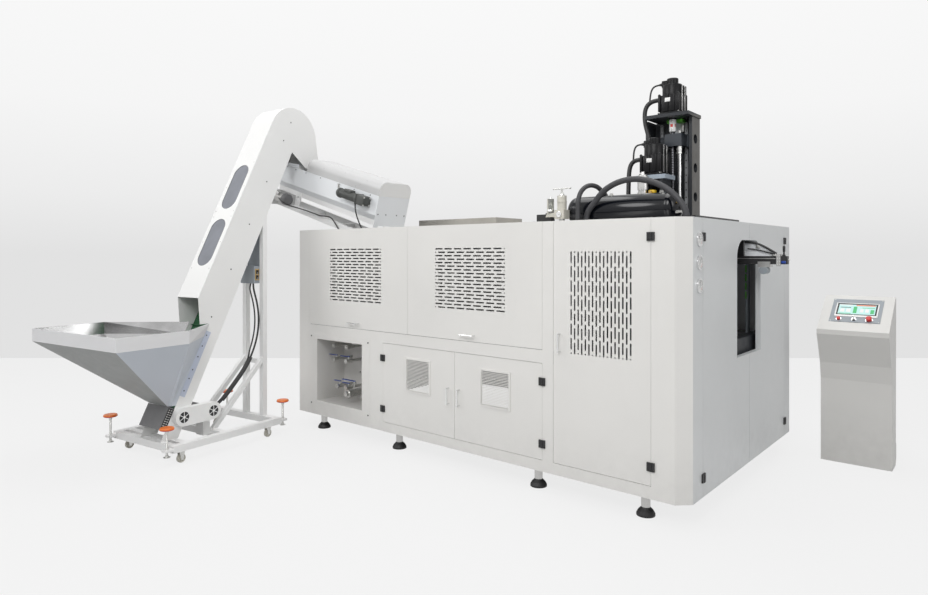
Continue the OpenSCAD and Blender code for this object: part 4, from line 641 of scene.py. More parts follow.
# hinge screws: one pair on the leaf that stays, one on the leaf that moves with its door
hingePlates = {"leafMid": 14, "rise": 17, "out": -11}
fixedSpots, movingSpots = [], {}
for line, side, heights, body in (
        (-1011, 1, frontTrim["lowHinges"], "cabinet_door_right"),
        (-2733, -1, frontTrim["lowHinges"], "cabinet_door_left"),
        (-163, 1, frontTrim["blowHinges"], "blow_door")):
    for z in heights:
        for rise in (-hingePlates["rise"], hingePlates["rise"]):
            fixedSpots.append((line + side * hingePlates["leafMid"], hingePlates["out"], z + rise))
            movingSpots.setdefault(body, []).append((line - side * hingePlates["leafMid"], hingePlates["out"],
                                                     z + rise))
assemble("fixed_hinge_screws", screws("-y", 0.8, fixedSpots), "machine")
for body, spots in movingSpots.items():
    assemble(body + "_hinge_screws", screws("-y", 0.8, spots), body + "_body")

gauges = {"x": 92.4, "y": 181, "z": (1856, 1703, 1553), "radius": 42, "sweep": 270, "ticks": 21, "figure": 8.5,
          "readings": (0.35, 0.62, 0.5)}


# flat figure that faces along X
def figureAt(figures, x, y, z):
    clearPick()
    bpy.ops.object.text_add(location=(0, 0, 0))
    words = bpy.context.object
    words.data.body = figures
    words.data.size = gauges["figure"] / 1000
    words.data.align_x = "CENTER"
    words.data.align_y = "CENTER"
    words.data.extrude = 0.0002
    bpy.ops.object.convert(target="MESH")
    return dress(setTurned(bpy.context.object, (math.pi / 2, 0, math.pi / 2), (x, y, z)), "blackPrint")


# dial of a pressure gauge, facing along X from the origin: plate, ticks, numbers, needle and hub
def gaugeDial(reading):
    r, sweep = gauges["radius"], math.radians(gauges["sweep"])
    parts = [turned((-0.4, 0, 0), "x", [(0, r - 1), (0.8, r - 1), (0.9, r - 2)], "whitePrint", 40)]
    start = (math.pi + sweep) / 2
    for tick in range(gauges["ticks"]):
        whole = tick % 4 == 0
        angle = start - sweep * tick / (gauges["ticks"] - 1)
        wide, low = (0.9, 0.68) if whole else (0.5, 0.76)
        ink = "redPrint" if tick > 16 else "blackPrint"
        mark = block((0.4, 0.9), (-wide, wide), (r * low, r * 0.88), ink, 0)
        parts.append(setTurned(mark, (angle - math.pi / 2, 0, 0), (0, 0, 0)))
        if whole:
            parts.append(figureAt(str(tick // 2), 0.7, math.cos(angle) * r / 2, math.sin(angle) * r / 2))
    needle = block((1.4, 2.0), (-1.1, 1.1), (-r * 0.2, r * 0.72), "blackPrint", 0)
    parts.append(setTurned(needle, (start - sweep * reading - math.pi / 2, 0, 0), (0, 0, 0)))
    parts.append(turned((0.8, 0, 0), "x", [(0, 4.5), (1.6, 4.2), (2.0, 2)], "zinc", 16))
    return parts + [ringOf((1.6, 0, 0), "x", 2.4, r - 1, r + 3.5, "chrome", 48)]


dials = []
for height, reading in zip(gauges["z"], gauges["readings"]):
    for part in gaugeDial(reading):
        dials += copiesAt(part, [(gauges["x"], gauges["y"], height)])
assemble("gauge_dials", dials, "machine")
print("gauges and hinge screws made")

outlet = {"arm": ((40, 1262, 1852), (90, 1262, 1850), (140, 1261, 1838), (190, 1260, 1814), (235, 1260, 1786),
                  (272, 1262, 1762)),
          "armHose": ((60, 1262, 1800), (120, 1260, 1796), (180, 1259, 1780), (225, 1259, 1768), (262, 1262, 1757)),
          "slot": ((-70, 262), (1268.6, 1270.4), (1722, 1727)), "stripX": (-96, -88), "stripY": (1706, 1728)}
parts = [block(*outlet["slot"], "satinSteel", 0)]
for x in (277, 293):
    parts += screws("-y", 1.1, [(x, 1256, z) for z in (1676, 1700, 1724, 1748)], "zinc")
parts += each(block, [
    ((304, 336), (1262, 1270.2), (1688, 1706), "blueGrip", 2),
    ((338, 343), (1273, 1327), (1684, 1740), "blackPlastic", 2)])
parts.append(rod((343, 1300, 1716), "x", 14, 5, "zinc", 12))
parts.append(turned((316, 1292, 1743), "z", [(0, 12), (10, 12), (12, 7), (30, 6), (34, 9), (70, 10), (76, 8),
                                             (80, 4)], "blackPlastic", 16))
parts += each(block, [
    ((240, 268), (1258, 1270.2), (1744, 1758), "zinc", 1.5),
    ((120, 150), (1262, 1274.2), (1806, 1832), "zinc", 1.5)])
assemble("outlet_fittings", parts, "machine")
for name, radius in (("arm", 8), ("armHose", 5)):
    cableOf("outlet_" + name.lower(), outlet[name], radius)
# green guide strips on the far post, seen through the outlet
strips = [block(outlet["stripX"], outlet["stripY"], (z, z + 62), "greenPlastic", 2) for z in (1380, 1454, 1528, 1602)]
post = block((-100, -84), (1730, 1800), (1050, 1880), "plateGrey", 2)
assemble("outlet_guides", strips + [post], "machine")
print("outlet fitted")


# press tower: servo motors, screw, tank and air parts
motor = {"half": 90, "post": 20, "round": 80, "cap": 45, "label": (44, 32), "flange": 15, "lid": 52,
         "bodyShare": 0.55}


# servo motor on end, over the origin: flange, square body with deep slots, round upper body, crowned lid and cap
def motorShell(height):
    half, post, r, cap, foot = (motor[key] for key in ("half", "post", "round", "cap", "flange"))
    top, bodyTop = height * motor["bodyShare"], height - motor["lid"]
    square, core, corner = (-half, half), (12 - half, half - 12), (2 - half, 2 - half + post)
    parts = each(block, [(square, square, (0, foot), "motorBlack", 3), (core, core, (foot, top - 8), "motorBlack", 6),
                         (corner, corner, (24, top), "motorBlack", 5)])
    shift = 2 * half - 4 - post
    parts += copies(parts[-1], [(shift, 0, 0), (0, shift, 0), (shift, shift, 0)])
    for sign in (-1, 1):  # broad raised pads between the corner posts, on all four sides
        for k in (-1, 1):
            flat, out = (k * 27 - 22, k * 27 + 22), sorted((sign * (half - 14), sign * (half - 4)))
            parts += each(block, [(flat, out, (22, top - 4), "motorBlack", 4),
                                  (out, flat, (22, top - 4), "motorBlack", 4)])
    rise = bodyTop - top
    crown = [(0, cap + 8), (5, cap + 8), (8, cap), (20, cap), (20, cap - 2), (23, cap - 2), (23, cap), (46, cap),
             (50, cap - 3), (52, cap - 9)]
    parts += each(turned, [
        ((0, 0, top - 12), "z", [(0, r), (rise + 2, r), (rise + 8, r - 3), (rise + 12, r - 12)], "motorBlack", 64),
        ((0, 0, bodyTop), "z", crown, "motorBlack", 48)])
    for k in range(3):  # upright flutes on the right
        low = 62 - half + k * 42
        parts.append(block((half - 20, half - 3), (low, low + 14), (top - 6, height - 64), "motorBlack", 4))
    wide, tall = motor["label"]
    labelLow = height * 0.33
    parts += each(block, [
        ((half - 5, half - 2), (-24, -16), (20, top + 70), "satinSteel", 1),
        ((half - 5, half - 2), (34, 42), (20, top + 70), "satinSteel", 1),
        ((-8 - wide / 2, wide / 2 - 8), (3.4 - half, 6 - half), (labelLow, labelLow + tall), "whitePrint", 0.6)])
    bolts = [(sx * (half - 11), sy * (half - 11)) for sx in (-1, 1) for sy in (-1, 1)]
    return (parts + screws("z", 1.5, [(*spot, foot) for spot in bolts], "zinc")
            + screws("z", 1.3, [(*spot, top) for spot in bolts]))


# plug of a motor cable: shell, knurled nut and boot, running to the left
def motorPlug(x, z, radius, reach):
    steps = [(0, radius * 0.72), (8, radius * 0.72), (8, radius)]
    for k in range(4):
        steps += [(away + k * 5, radius * share) for away, share in ((12, 1.04), (13, 0.94), (16, 0.94), (17, 1.04))]
    steps += [(reach - 14, radius), (reach - 12, radius * 0.8), (reach - 3, radius * 0.78), (reach, radius * 0.6)]
    return turned((x, 0, z), "-x", steps, "blackPlastic", 20)


servos = {"upper": (-463, 1070, 2880, 297), "lower": (-550, 920, 2384, 303)}
for name, (x, y, z, height) in servos.items():
    parts = motorShell(height) + each(motorPlug, [(-60, 140, 22, 52), (-50, 262, 13, 62)]) + each(block, [
        ((-84, -40), (-24, 24), (228, 286), "motorBlack", 5), ((-90, -70), (-20, 20), (112, 168), "motorBlack", 4)])
    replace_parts(assemble(name + "_servo_motor", parts, "machine", placeAt(x, y, z)), "drive_motors")
print("servo motors made")

leads = {
    "upper_conduit": (18, [(-575, 1070, 3020), (-600, 1070, 3020), (-640, 1066, 3014), (-672, 1058, 2992),
                           (-688, 1050, 2955), (-692, 1044, 2910), (-688, 1040, 2862), (-678, 1037, 2810),
                           (-662, 1035, 2760), (-649, 1034, 2705), (-645, 1034, 2640), (-645, 1034, 2500),
                           (-645, 1034, 2300), (-645, 1034, 2120), (-645, 1034, 1995)]),
    "lower_conduit": (18, [(-662, 920, 2524), (-695, 920, 2524), (-731, 918, 2514), (-753, 912, 2486),
                           (-761, 905, 2440), (-763, 900, 2380), (-763, 895, 2300), (-763, 892, 2200),
                           (-763, 890, 2090), (-763, 890, 1970)]),
    "upper_lead": (7, [(-575, 1070, 3142), (-600, 1070, 3142), (-630, 1069, 3130), (-646, 1067, 3100),
                       (-652, 1064, 3060), (-656, 1062, 3010)]),
    "lower_lead": (7, [(-662, 920, 2646), (-688, 920, 2646), (-712, 920, 2634), (-725, 919, 2604), (-730, 918, 2560),
                       (-732, 918, 2516)]),
    "side_motor_cable": (6, [(-3128, 8, 2245.5), (-3128, 8, 2222), (-3126, 10, 2170), (-3120, 24, 2110),
                             (-3112, 44, 2055), (-3106, 64, 2012), (-3104, 70, 1988), (-3104, 70, 1970)])}
for name, (radius, route) in leads.items():
    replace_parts(cableOf(name, route, radius), "power_cables")

screwPart = {"spot": (-463, 1070, 2018), "radius": 16, "pitch": 20, "coupling": 727, "top": 843, "hub": 27}


# ball screw with its thread, and the jaw coupling under the motor, over the origin
def ballScrew():
    r, pitch, z, hub = (screwPart[key] for key in ("radius", "pitch", "coupling", "hub"))
    steps = [(0, r - 2)]
    for at in range(8, z - pitch, pitch):
        steps += [(at, r - 2), (at + 3, r), (at + 13, r), (at + 16, r - 2)]
    steps.append((screwPart["top"], r - 2))
    parts = each(turned, [
        ((0, 0, 0), "z", steps, "screwSteel", 20),
        ((0, 0, z), "z", [(0, hub - 3), (2, hub), (36, hub), (38, hub - 2)], "whitePrint", 32),
        ((0, 0, z + 62), "z", [(0, hub - 2), (2, hub), (36, hub), (38, hub - 3)], "whitePrint", 32),
        ((0, 0, z + 36), "z", [(0, hub - 4), (28, hub - 4)], "redPrint", 32)])
    for k in range(4):
        jaw = block((hub - 14, hub - 1), (-7, 7), (z + 34, z + 66), "whitePrint", 2)
        parts.append(setTurned(jaw, (0, 0, math.radians(90 * k + 45)), (0, 0, 0)))
    for height in (z + 14, z + 86):
        # the clamping slit of each hub is a thin black sheet: painted shade in the slit
        parts.append(block((-1.5, 1.5), (-hub - 0.6, 10 - hub), (height - 12, height + 12), "blackPrint", 0))
        parts += screws("x", 0.9, [(12, 3.2 - hub, height)])
    return parts


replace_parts(assemble("ball_screw_detail", ballScrew(), "ball_screw_body", placeAt(*screwPart["spot"])),
            "ball_screw")

# bearing plates behind the coupling, in green, with their block
parts = [block((-520, -500), (1150, 1199), (2752, 2840), "zinc", 2),
         block((-426, -406), (1150, 1199), (2752, 2840), "zinc", 2)]
parts += each(block, [
    ((-528, -478), (1108, 1199), (2826, 2852), "greenPlastic", 2),
    ((-448, -398), (1108, 1199), (2826, 2852), "greenPlastic", 2),
    ((-500, -426), (1170, 1199), (2740, 2850), "troughGrey", 2)])
assemble("screw_bearing", parts, "machine")

rails = {"x": (-598, -392), "face": 1172, "from": 2100, "pitch": 60, "count": 13, "hole": 6}
hole = turned((0, 0, 0), "-y", [(0, rails["hole"]), (0.15, rails["hole"])], "darkBolt", 14)
heights = [rails["from"] + k * rails["pitch"] for k in range(rails["count"])]
assemble("rail_screws", copiesAt(hole, grid(rails["x"], (rails["face"],), heights)), "machine")

carriage = {"face": 1142, "rod": (-405, 1070)}
parts = screws("-y", 1.1, grid((-598, -574, -412, -388), (carriage["face"],), (2640, 2664, 2686, 2710)))
rodX, rodY = carriage["rod"]
for z in (2564, 2594):
    parts.append(ringOf((rodX, rodY, z), "z", 12, 21.5, 25, "zinc", 32))
parts.append(turned((rodX, rodY, 2725), "z", [(0, 20), (3, 20), (6, 15), (24, 15), (27, 11)], "zinc", 6))
for side in (-1, 1):  # webs that stiffen the arm of the stretch rod
    web = block((-8, 8), (-66, 0), (0, 62), "carriagePaint", 2)
    pick(web)
    editAll()
    bpy.ops.mesh.bisect(plane_co=(0, -0.066, 0.012), plane_no=(0, -0.62, 0.78), clear_outer=True, use_fill=True)
    bpy.ops.object.mode_set(mode="OBJECT")
    parts.append(setTurned(web, (0, 0, 0), (rodX + 34 * side - 22, carriage["face"], 2650)))
assemble("carriage_fittings", parts, "stretch_carriage_body")
print("screw and carriage made")

tank = {"left": -1070, "length": 910, "y": 500, "z": 2093, "radius": 115, "dome": 70, "rings": 10, "roof": -123}


# welded tank lying along X from the origin: domed ends, weld beads, saddles and the fittings on it
def airTank():
    r, dome, length, roof = (tank[key] for key in ("radius", "dome", "length", "roof"))
    arc = [math.radians(90 * k / tank["rings"]) for k in range(tank["rings"] + 1)]
    steps = [(dome - dome * math.cos(a), max(r * math.sin(a), 4)) for a in arc]
    steps += [(dome + 6, r), (dome + 8, r + 1.4), (dome + 13, r + 1.4), (dome + 15, r)]
    steps += [(length - away, radius) for away, radius in reversed(steps)]
    parts = [turned((0, 0, 0), "x", steps, "tankBlack", 96)]
    for x in (160, 690):
        parts += each(block, [((x, x + 60), (-80, 80), (roof, roof + 52), "blackPaint", 2),
                              ((x - 12, x + 72), (-96, 96), (roof, roof + 6), "blackPaint", 1.5)])
        parts += screws("z", 1.6, [(x + 6, -88, roof + 6), (x + 54, -88, roof + 6)], "zinc")
    for x, y in ((230, -158), (190, -210), (1000, -133)):
        parts += each(turned, [
            ((x, y, roof), "z", [(0, 30), (10, 30), (12, 25), (20, 25)], "zinc", 6),
            ((x, y, roof + 20), "z", [(0, 25), (22, 25), (24, 22.6), (34, 22.6)], "blackPaint", 28)])
    boss = turned((0, 0, 0), "z", [(0, 28), (26, 28), (30, 25), (80, 25)], "blackPaint", 28)
    aim = Vector((0.283, 0.563, -0.777)).normalized()
    parts.append(setTurned(boss, aim.to_track_quat("Z", "Y").to_euler(), (267, 21, 153)))
    # plugs along the top, then the drain, the relief valve and the brass cock on the right end
    plug = [(0, 16), (10, 16), (12, 12), (20, 12)]
    return parts + each(turned, [((x, -20, 108), "z", plug, "zinc", 6) for x in (370, 600, 770)]) + each(turned, [
        ((length - 6, 0, 0), "x", [(0, 17), (12, 17), (14, 12), (30, 12), (32, 15), (40, 15)], "zinc", 6),
        ((length - 20, -56, -34), "x", [(0, 12), (22, 12), (24, 8), (48, 8), (50, 12), (60, 12)], "zinc", 6),
        ((length - 16, -50, 36), "x", [(0, 11), (20, 11), (22, 7), (34, 7), (36, 13), (44, 13)], "brass", 6)])


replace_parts(assemble("air_tank_detail", airTank(), "machine",
                     placeAt(tank["left"], tank["y"], tank["z"])), "air_tank")

# oil cup, valve and relief parts that stand on the roof behind the tank
can = {"spot": (-593, 800, 1970), "radius": 42}
x, y, z = can["spot"]
r = can["radius"]
oilCup = [(0, 22), (250, 22), (254, 34), (290, 34), (294, r), (400, r), (404, 36), (412, 36), (414, 18), (437, 14)]
parts = [turned(can["spot"], "z", oilCup, "satinSteel", 40)]
parts += [ringOf((x, y, height), "z", 4, r - 1, r + 1.6, "zinc", 40) for height in (2284, 2318, 2352)]
parts += [turned((-520, 830, z), "z", [(0, 18), (200, 18), (204, 24), (244, 24), (248, 16), (280, 16)], "brass", 24),
          block((-548, -500), (800, 850), (2216, 2262), "yellowPlastic", 5),
          turned((-524, 806, 2240), "-y", [(0, 10), (16, 10), (18, 15), (30, 15)], "brass", 6)]
assemble("roof_valves", parts, "machine")

# the regulator's fittings, around its own foot
regulator = {"foot": (-1028, 300, 2030), "knobs": 235.9}
regulatorPlace = placeAt(*regulator["foot"])
parts = each(turned, [
    ((0, 0, 128), "z", [(0, 37), (3, 38), (9, 38), (12, 36.4)], "ivoryPlastic", 40),
    ((0, 0, 170), "z", [(0, 36.4), (10, 34), (14, 20), (24, 18), (26, 11), (34, 11)], "zinc", 32),
    ((0, -40, 34), "-y", [(0, 24), (12, 24), (14, 22), (14, 20), (11, 19)], "chrome", 32),
    ((0, -41, 34), "-y", [(0, 19), (10.4, 19)], "whitePrint", 32),
    ((-42, 0, 34), "-x", [(0, 20), (18, 20), (20, 17), (26, 17)], "zinc", 6),
    ((-104, 0, 34), "-x", [(0, 20), (12, 20), (14, 17), (20, 17)], "zinc", 6),
    ((-104, 0, 60), "z", [(0, 29), (14, 29), (17, 27.5)], "zinc", 28),
    ((-104, 0, 158), "z", [(0, 27), (4, 22), (8, 10), (16, 8)], "zinc", 24)])
parts.append(block((-1, 10), (-52.4, -51.6), (33, 35), "blackPrint", 0))
assemble("regulator_fittings", parts, "machine", regulatorPlace)
knob = [(0, 5.6), (1, 7), (8, 7), (10, 5)]
knobs = each(turned, [((-70, 0, regulator["knobs"]), "-x", knob, "zinc", 14),
                      ((70, 0, regulator["knobs"]), "x", knob, "zinc", 14)])
assemble("regulator_handle_knobs", knobs, "regulator_handle_body", regulatorPlace)
print("tower finished")


# elevator: grilles, boot plate, jacks, castors, screws and cables
grille = {"x": -137, "z": 353.9, "v": (190.6, 485), "radius": 50, "spokes": 6, "hub": 11}


# round fan grille on the guard, around the origin: a black disc as painted shade in the opening, spokes, hub and rim
def fanGrille():
    r, hub = grille["radius"], grille["hub"]
    parts = [turned((0, 0, 0), "x", [(0, r), (0.8, r)], "blackPlastic", 40),
             ringOf((0, 0, 0), "x", 2.6, r - 2, r + 3, "baseWhite", 40),
             turned((0, 0, 0), "x", [(0, hub), (2.4, hub), (3, hub - 3)], "baseWhite", 20)]
    for k in range(grille["spokes"]):
        spoke = block((0, 2.4), (-2.6, 2.6), (hub - 2, r), "baseWhite", 0)
        parts.append(setTurned(spoke, (math.tau * k / grille["spokes"], 0, 0), (0, 0, 0)))
    return parts


spots = [(grille["x"], v, grille["z"]) for v in grille["v"]]
grilles = [one for part in fanGrille() for one in copiesAt(part, spots)]
assemble("guard_grilles", grilles, "machine", elevatorPlace)

# slotted black plate on the boot's near side, in the slope's own axes
parts = [block((-199.8, -196.5), (-201, -146), (-262, -84), "blackPlastic", 1)]
for k in range(9):
    for y in (-194, -171):
        parts.append(block((-197, -196), (y, y + 14), (-254 + k * 19, -247 + k * 19), "satinSteel", 0))
for z in (90, 200, 281, 400, 500, 602):
    parts += screws("x", 1.2, [(-196.5, -126, z)])
assemble("boot_plate", parts, "machine", liftPlace)

parts = screws("x", 1.3, grid((-200,), (-149,), (770, 1246, 1723, 2200, 2688, 2908)))
parts += screws("-y", 1.0, grid((-478, -222), (-351,), (1160, 1430, 1700, 1760, 2030, 2300)), "zinc")
assemble("casing_screws", parts, "machine", liftPlace)

# dark gasket round each window
for number, s in enumerate((1430, 2030), 1):
    clearPick()
    bpy.ops.mesh.primitive_circle_add(vertices=48, radius=0.1015)
    gasket = bpy.context.object
    for vertex in gasket.data.vertices:
        vertex.co.y += 0.145 if vertex.co.y > 0 else -0.145
    editAll()
    bpy.ops.mesh.extrude_edges_move()
    scaleAcross(0.965, 0.985)
    bpy.ops.mesh.select_all(action="SELECT")
    bpy.ops.mesh.extrude_region_move(TRANSFORM_OT_translate={"value": (0, 0, 0.0016)})
    closeEdit()
    setTurned(gasket, (math.pi / 2, 0, 0), (-350, -349.4, s))
    assemble(f"window_gasket_{number}", [dress(gasket, "frameGrey")], "machine", liftPlace)

jacks = {"u": (-30, -867), "v": (-42, 1192), "rod": 10, "foot": 85, "low": 310, "high": 334, "radius": 62.5,
         "lobes": 7}


# hand wheel with lobes on a threaded rod that ends in a foot
def jackPart():
    r, low, high, rodR = jacks["radius"], jacks["low"], jacks["high"], jacks["rod"]
    # the wheel's lower rim is a darker red under the orange top: painted shade on the side of the orange wheel
    wheel = turned((0, 0, low), "z", [(0, 34), (2, r - 6), (7, r), (11, r)], "redPlastic", 56)
    top = turned((0, 0, low + 11), "z", [(0, r), (6, r - 1), (high - low - 12, r - 5), (high - low - 11, r - 18)],
                 "orangePlastic", 56)
    for part in (wheel, top):
        pick(part)
        for vertex in part.data.vertices:
            spoke = math.cos(jacks["lobes"] * math.atan2(vertex.co.y, vertex.co.x))
            vertex.select = spoke < -0.25 and vertex.co.xy.length > 0.05
        bpy.ops.object.mode_set(mode="EDIT")
        bpy.ops.mesh.select_mode(type="VERT")
        scaleAcross(0.93, 0.93)
        bpy.ops.object.mode_set(mode="OBJECT")
    steps = [(0, rodR - 1)]
    for k in range(38):
        steps += [(2 + k * 5, rodR), (4 + k * 5, rodR - 0.9)]
    steps.append((low - jacks["foot"], rodR - 1))
    return [wheel, top, turned((0, 0, jacks["foot"]), "z", steps, "zinc", 16),
            turned((0, 0, low - 22), "z", [(0, 14), (16, 14), (22, 24)], "zinc", 24),
            turned((0, 0, jacks["foot"]), "z", [(0, 26), (3, 28), (6, 28), (9, 14), (20, 13)], "zinc", 32)]


parts = []
for part in jackPart():
    parts += copiesAt(part, [(u, v, 0) for u in jacks["u"] for v in jacks["v"]])
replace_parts(assemble("jack_wheels", parts, "jack_screws_body", elevatorPlace), "jack_screws")

hubCap = [(-2.6, 20), (-1.4, 20), (-1, 12), (0.6, 11)]
for number, (v, u) in enumerate([(v, u) for v in (112, 1038) for u in (-67, -830)], 1):
    caps = [turned((u + away, v, 37.5), axis, hubCap, "frameGrey", 24) for away, axis in ((14, "x"), (-14, "-x"))]
    assemble(f"castor_hubs_{number}", caps, f"castor_wheel_{number}_body", elevatorPlace)

drive = {"axis": (485, 345), "box": ((-310, -208), (430, 540), (290, 400)), "start": -310}
v, z = drive["axis"]
steps = finned([(0, 46), (8, 48)], 11, 12, ((14, 48), (15, 44), (20, 44), (21, 48)),
               [(150, 48), (172, 48), (180, 42)])
parts = [block(*drive["box"], "satinSteel", 6), turned((drive["start"], v, z), "-x", steps, "frameGrey", 40),
         rod((-208, v, z), "x", 64, 9, "satinSteel"),
         block((-420, -350), (v - 30, v + 30), (z - 64, z - 42), "blackPlastic", 4)]
parts += screws("-y", 1.6, grid((-296, -222), (430,), (304, 386)), "zinc")
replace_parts(assemble("elevator_gear_motor", parts, "machine", elevatorPlace), "drive_motors")

liftCable = [(-300, 1060, 1470), (-300, 1060, 1430), (-292, 1070, 1370), (-276, 1080, 1300), (-262, 1084, 1230),
             (-254, 1086, 1160), (-250, 1084, 1090), (-250, 1078, 1020), (-252, 1066, 950), (-258, 1050, 880),
             (-266, 1030, 815), (-273, 1003, 750), (-276, 968, 690), (-276, 925, 635), (-276, 875, 582),
             (-276, 825, 532), (-276, 775, 482), (-276, 725, 434), (-276, 680, 394), (-278, 635, 364),
             (-284, 595, 350), (-292, 565, 345), (-292, 540, 345)]
second = [(-336, 1062, 1472)] + [(u - 24, v - (26 if z > 800 else 4), z) for u, v, z in liftCable[1:-2]]
sleeve = [(u + 1, v + 4, z + 2) for u, v, z in liftCable[11:19]]
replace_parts(cableOf("lift_cable", liftCable, 9, elevatorPlace), "power_cables")
cableOf("lift_cable_second", second, 7, elevatorPlace)
cableOf("lift_sleeve", sleeve, 17, elevatorPlace)

# switch plate on the electric box
parts = [block((-250.4, -247.5), (1040, 1088), (1500, 1612), "brass", 1.5)]
for z in (1512, 1562):
    parts += each(block, [((-248, -242), (1049, 1079), (z, z + 38), "blackPlastic", 3),
                          ((-243, -241), (1058, 1070), (z + 8, z + 12), "whitePrint", 0)])
parts += screws("x", 0.8, grid((-247.5,), (1064,), (1505, 1556, 1607)), "zinc")
assemble("switch_plate", parts, "machine", elevatorPlace)
print("elevator finished")


# unscrambler: its two motors, latch, screws and cable
sideMotor = {"axis": (-58, -78), "hood": -467, "body": -470, "radius": 42, "slots": 8}
y, z = sideMotor["axis"]
r = sideMotor["radius"]
steps = finned([(0, r)], 13, 18, ((4, r), (6, r - 3), (12, r - 3), (14, r)), [(270, r)])
parts = each(turned, [
    ((sideMotor["hood"], y, z), "-x", [(0, 44), (2, 48), (22, 48), (30, 44), (31, 36), (29, 34)], "motorOlive", 40),
    ((sideMotor["body"], y, z), "x", steps, "motorOlive", 40)])
parts += each(block, [
    ((-200, -90), (-102, -12), (-124, -32), "motorOlive", 8, 3),
    ((-204, -194), (-108, -8), (-128, -28), "motorOlive", 4),
    ((-400, -300), (-88, -28), (-50, -20), "motorOlive", 5),
    ((-440, -100), (-20, 0), (-100, -56), "motorOlive", 2)])
parts += screws("x", 1.6, grid((-90,), (-92, -22), (-114, -42)), "zinc")
# vent slots in the fan hood are thin black sheets: painted shade in the slots
for number in range(sideMotor["slots"]):
    slot = block((-500, -497), (8, 30), (-2.2, 2.2), "blackPlastic", 0)
    parts.append(setTurned(slot, (math.tau * number / sideMotor["slots"], 0, 0), (0, y, z)))
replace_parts(assemble("side_motor", parts, "machine", chutePlace), "drive_motors")

gearMotor = {"axis": (-25, -350), "box": ((-1620, -1540), (-75, 25), (-400, -300)), "body": -1540, "cap": -1400}
y, z = gearMotor["axis"]
steps = finned([(0, 48)], 9, 15, ((3, 52), (5, 47), (9, 47), (11, 52)), [(140, 52)])
capSteps = [(0, 56), (2, 62), (50, 62), (60, 56), (65, 40), (63, 24)]
parts = [block(*gearMotor["box"], "satinSteel", 6),
         turned((gearMotor["body"], y, z), "x", steps, "satinSteel", 40),
         turned((gearMotor["cap"], y, z), "x", capSteps, "frameGrey", 40),
         block((-1530, -1450), (-88, -40), (-322, -290), "satinSteel", 4)]
parts += screws("-y", 1.6, grid((-1608, -1552), (-75,), (-388, -312)), "zinc")
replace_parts(assemble("chute_gear_motor", parts, "machine", chutePlace), "drive_motors")

chuteCable = [(-1450, -70, -352), (-1380, -92, -372), (-1290, -70, -392), (-1190, -20, -394), (-1060, 8, -392),
              (-930, 14, -390), (-820, 16, -392), (-740, 18, -372), (-650, 18, -362), (-590, 18, -392),
              (-540, 24, -430), (-505, 40, -468)]
cableOf("chute_cable", chuteCable, 6, chutePlace)

# toggle latch of the cover and the screws along the trough
parts = [block((-606, -580), (-6, 0.2), (-52, -10), "zinc", 1.5), rod((-593, -10, -46), "z", 34, 4, "zinc", 12),
         turned((-593, -12, -12), "-y", [(0, 7), (5, 7), (6, 5)], "zinc", 14)]
parts += screws("-y", 1.1, grid((-1485, -1333, -1152, -900, -360, -120), (0,), (-16,)))
parts += screws("x", 1.2, grid((0,), (30, 130, 270, 370), (-172,)))
assemble("trough_fittings", parts, "machine", chutePlace)
print("unscrambler finished")


# console: screen and controls; the marks on the screen are (across, up), by tone
screen = {"x": (126, 397), "d": (200, 322), "frame": ((115, 408), (189, 332)), "glass": 8}
glass = screen["glass"]
parts = each(block, [(*screen["frame"], (glass - 1.5, glass), "blackPrint", 1),
                     (screen["x"], screen["d"], (glass - 0.4, glass + 0.4), "screenPale", 0)])
marks = {"whitePrint": (((131, 226), (308, 319)), ((140, 172), (226, 268)), ((184, 216), (226, 268)),
                        ((286, 312), (226, 268)), ((324, 350), (226, 268))),
         "screenAmber": (((252, 392), (308, 319)),),
         "screenGreen": (((236, 262), (214, 296)), ((362, 388), (212, 262)), ((132, 224), (204, 210)),
                         ((300, 390), (280, 286))),
         "blackPrint": (((140, 216), (280, 286)),)}
for tone, spans in marks.items():
    parts += [block(across, up, (glass, glass + 0.7), tone, 0) for across, up in spans]
parts += screws("z", 0.7, grid((111, 412), (176, 334), (10,)), "zinc")
assemble("console_screen", parts, "machine", consolePlace)

controls = {"d": 138, "start": 143, "key": 254, "stop": 364, "plate": 4}
d, base = controls["d"], controls["plate"]
rings = ((controls["start"], 16, 20), (controls["key"], 12, 18), (controls["stop"], 22.5, 27))
parts = [ringOf((x, d, base), "z", 3, inner, outer, "chrome") for x, inner, outer in rings]
parts += screws("z", 1.0, grid((84, 434), (115, 385), (base,)), "zinc")
assemble("control_rings", parts, "machine", consolePlace)
capSteps = [(0, 13), (8, 13), (9, 21.2), (16, 21.2), (20, 18), (22.4, 11)]
cap = turned((controls["stop"], d, base + 7.5), "z", capSteps, "redPlastic", 40)
assemble("stop_cap", [cap], "emergency_stop_body", consolePlace)

# ring and tag that hang from the key
clearPick()
bpy.ops.mesh.primitive_torus_add(major_radius=0.011, minor_radius=0.0011, major_segments=32, minor_segments=8,
                                 location=inMetres(controls["key"], d - 9, 36), rotation=(0, math.pi / 2, 0))
setInMesh()
ring = dress(bpy.context.object, "frameGrey")
tag = block((controls["key"] + 3, controls["key"] + 5), (d - 32, d - 18), (22, 48), "frameGrey", 1)
assemble("key_ring", [ring, tag], "key_switch_body", consolePlace)
print("console finished")


# stage and lights
stage = {"floorEnd": 11.1, "floorWide": 60, "floorNear": 14, "floorTone": (0.50, 0.50, 0.50), "seenTone": 0.955,
         "shadowShare": 0.16, "fill": 0.38}
lights = {
    "key": {"place": (1.2, -5.8, 6.2), "aim": (-1.3, 0.2, 1.4), "size": 3.6, "power": 250},
    "left": {"place": (-6.5, -6.0, 6.0), "aim": (-3.2, 0.0, 1.6), "size": 3.6, "power": 190},
    "top": {"place": (-1.5, 1.0, 8.5), "aim": (-1.8, 1.0, 0.0), "size": 6.0, "power": 300},
    "end": {"place": (5.5, -1.0, 4.0), "aim": (0.3, 0.8, 1.4), "size": 3.0, "power": 70},
}

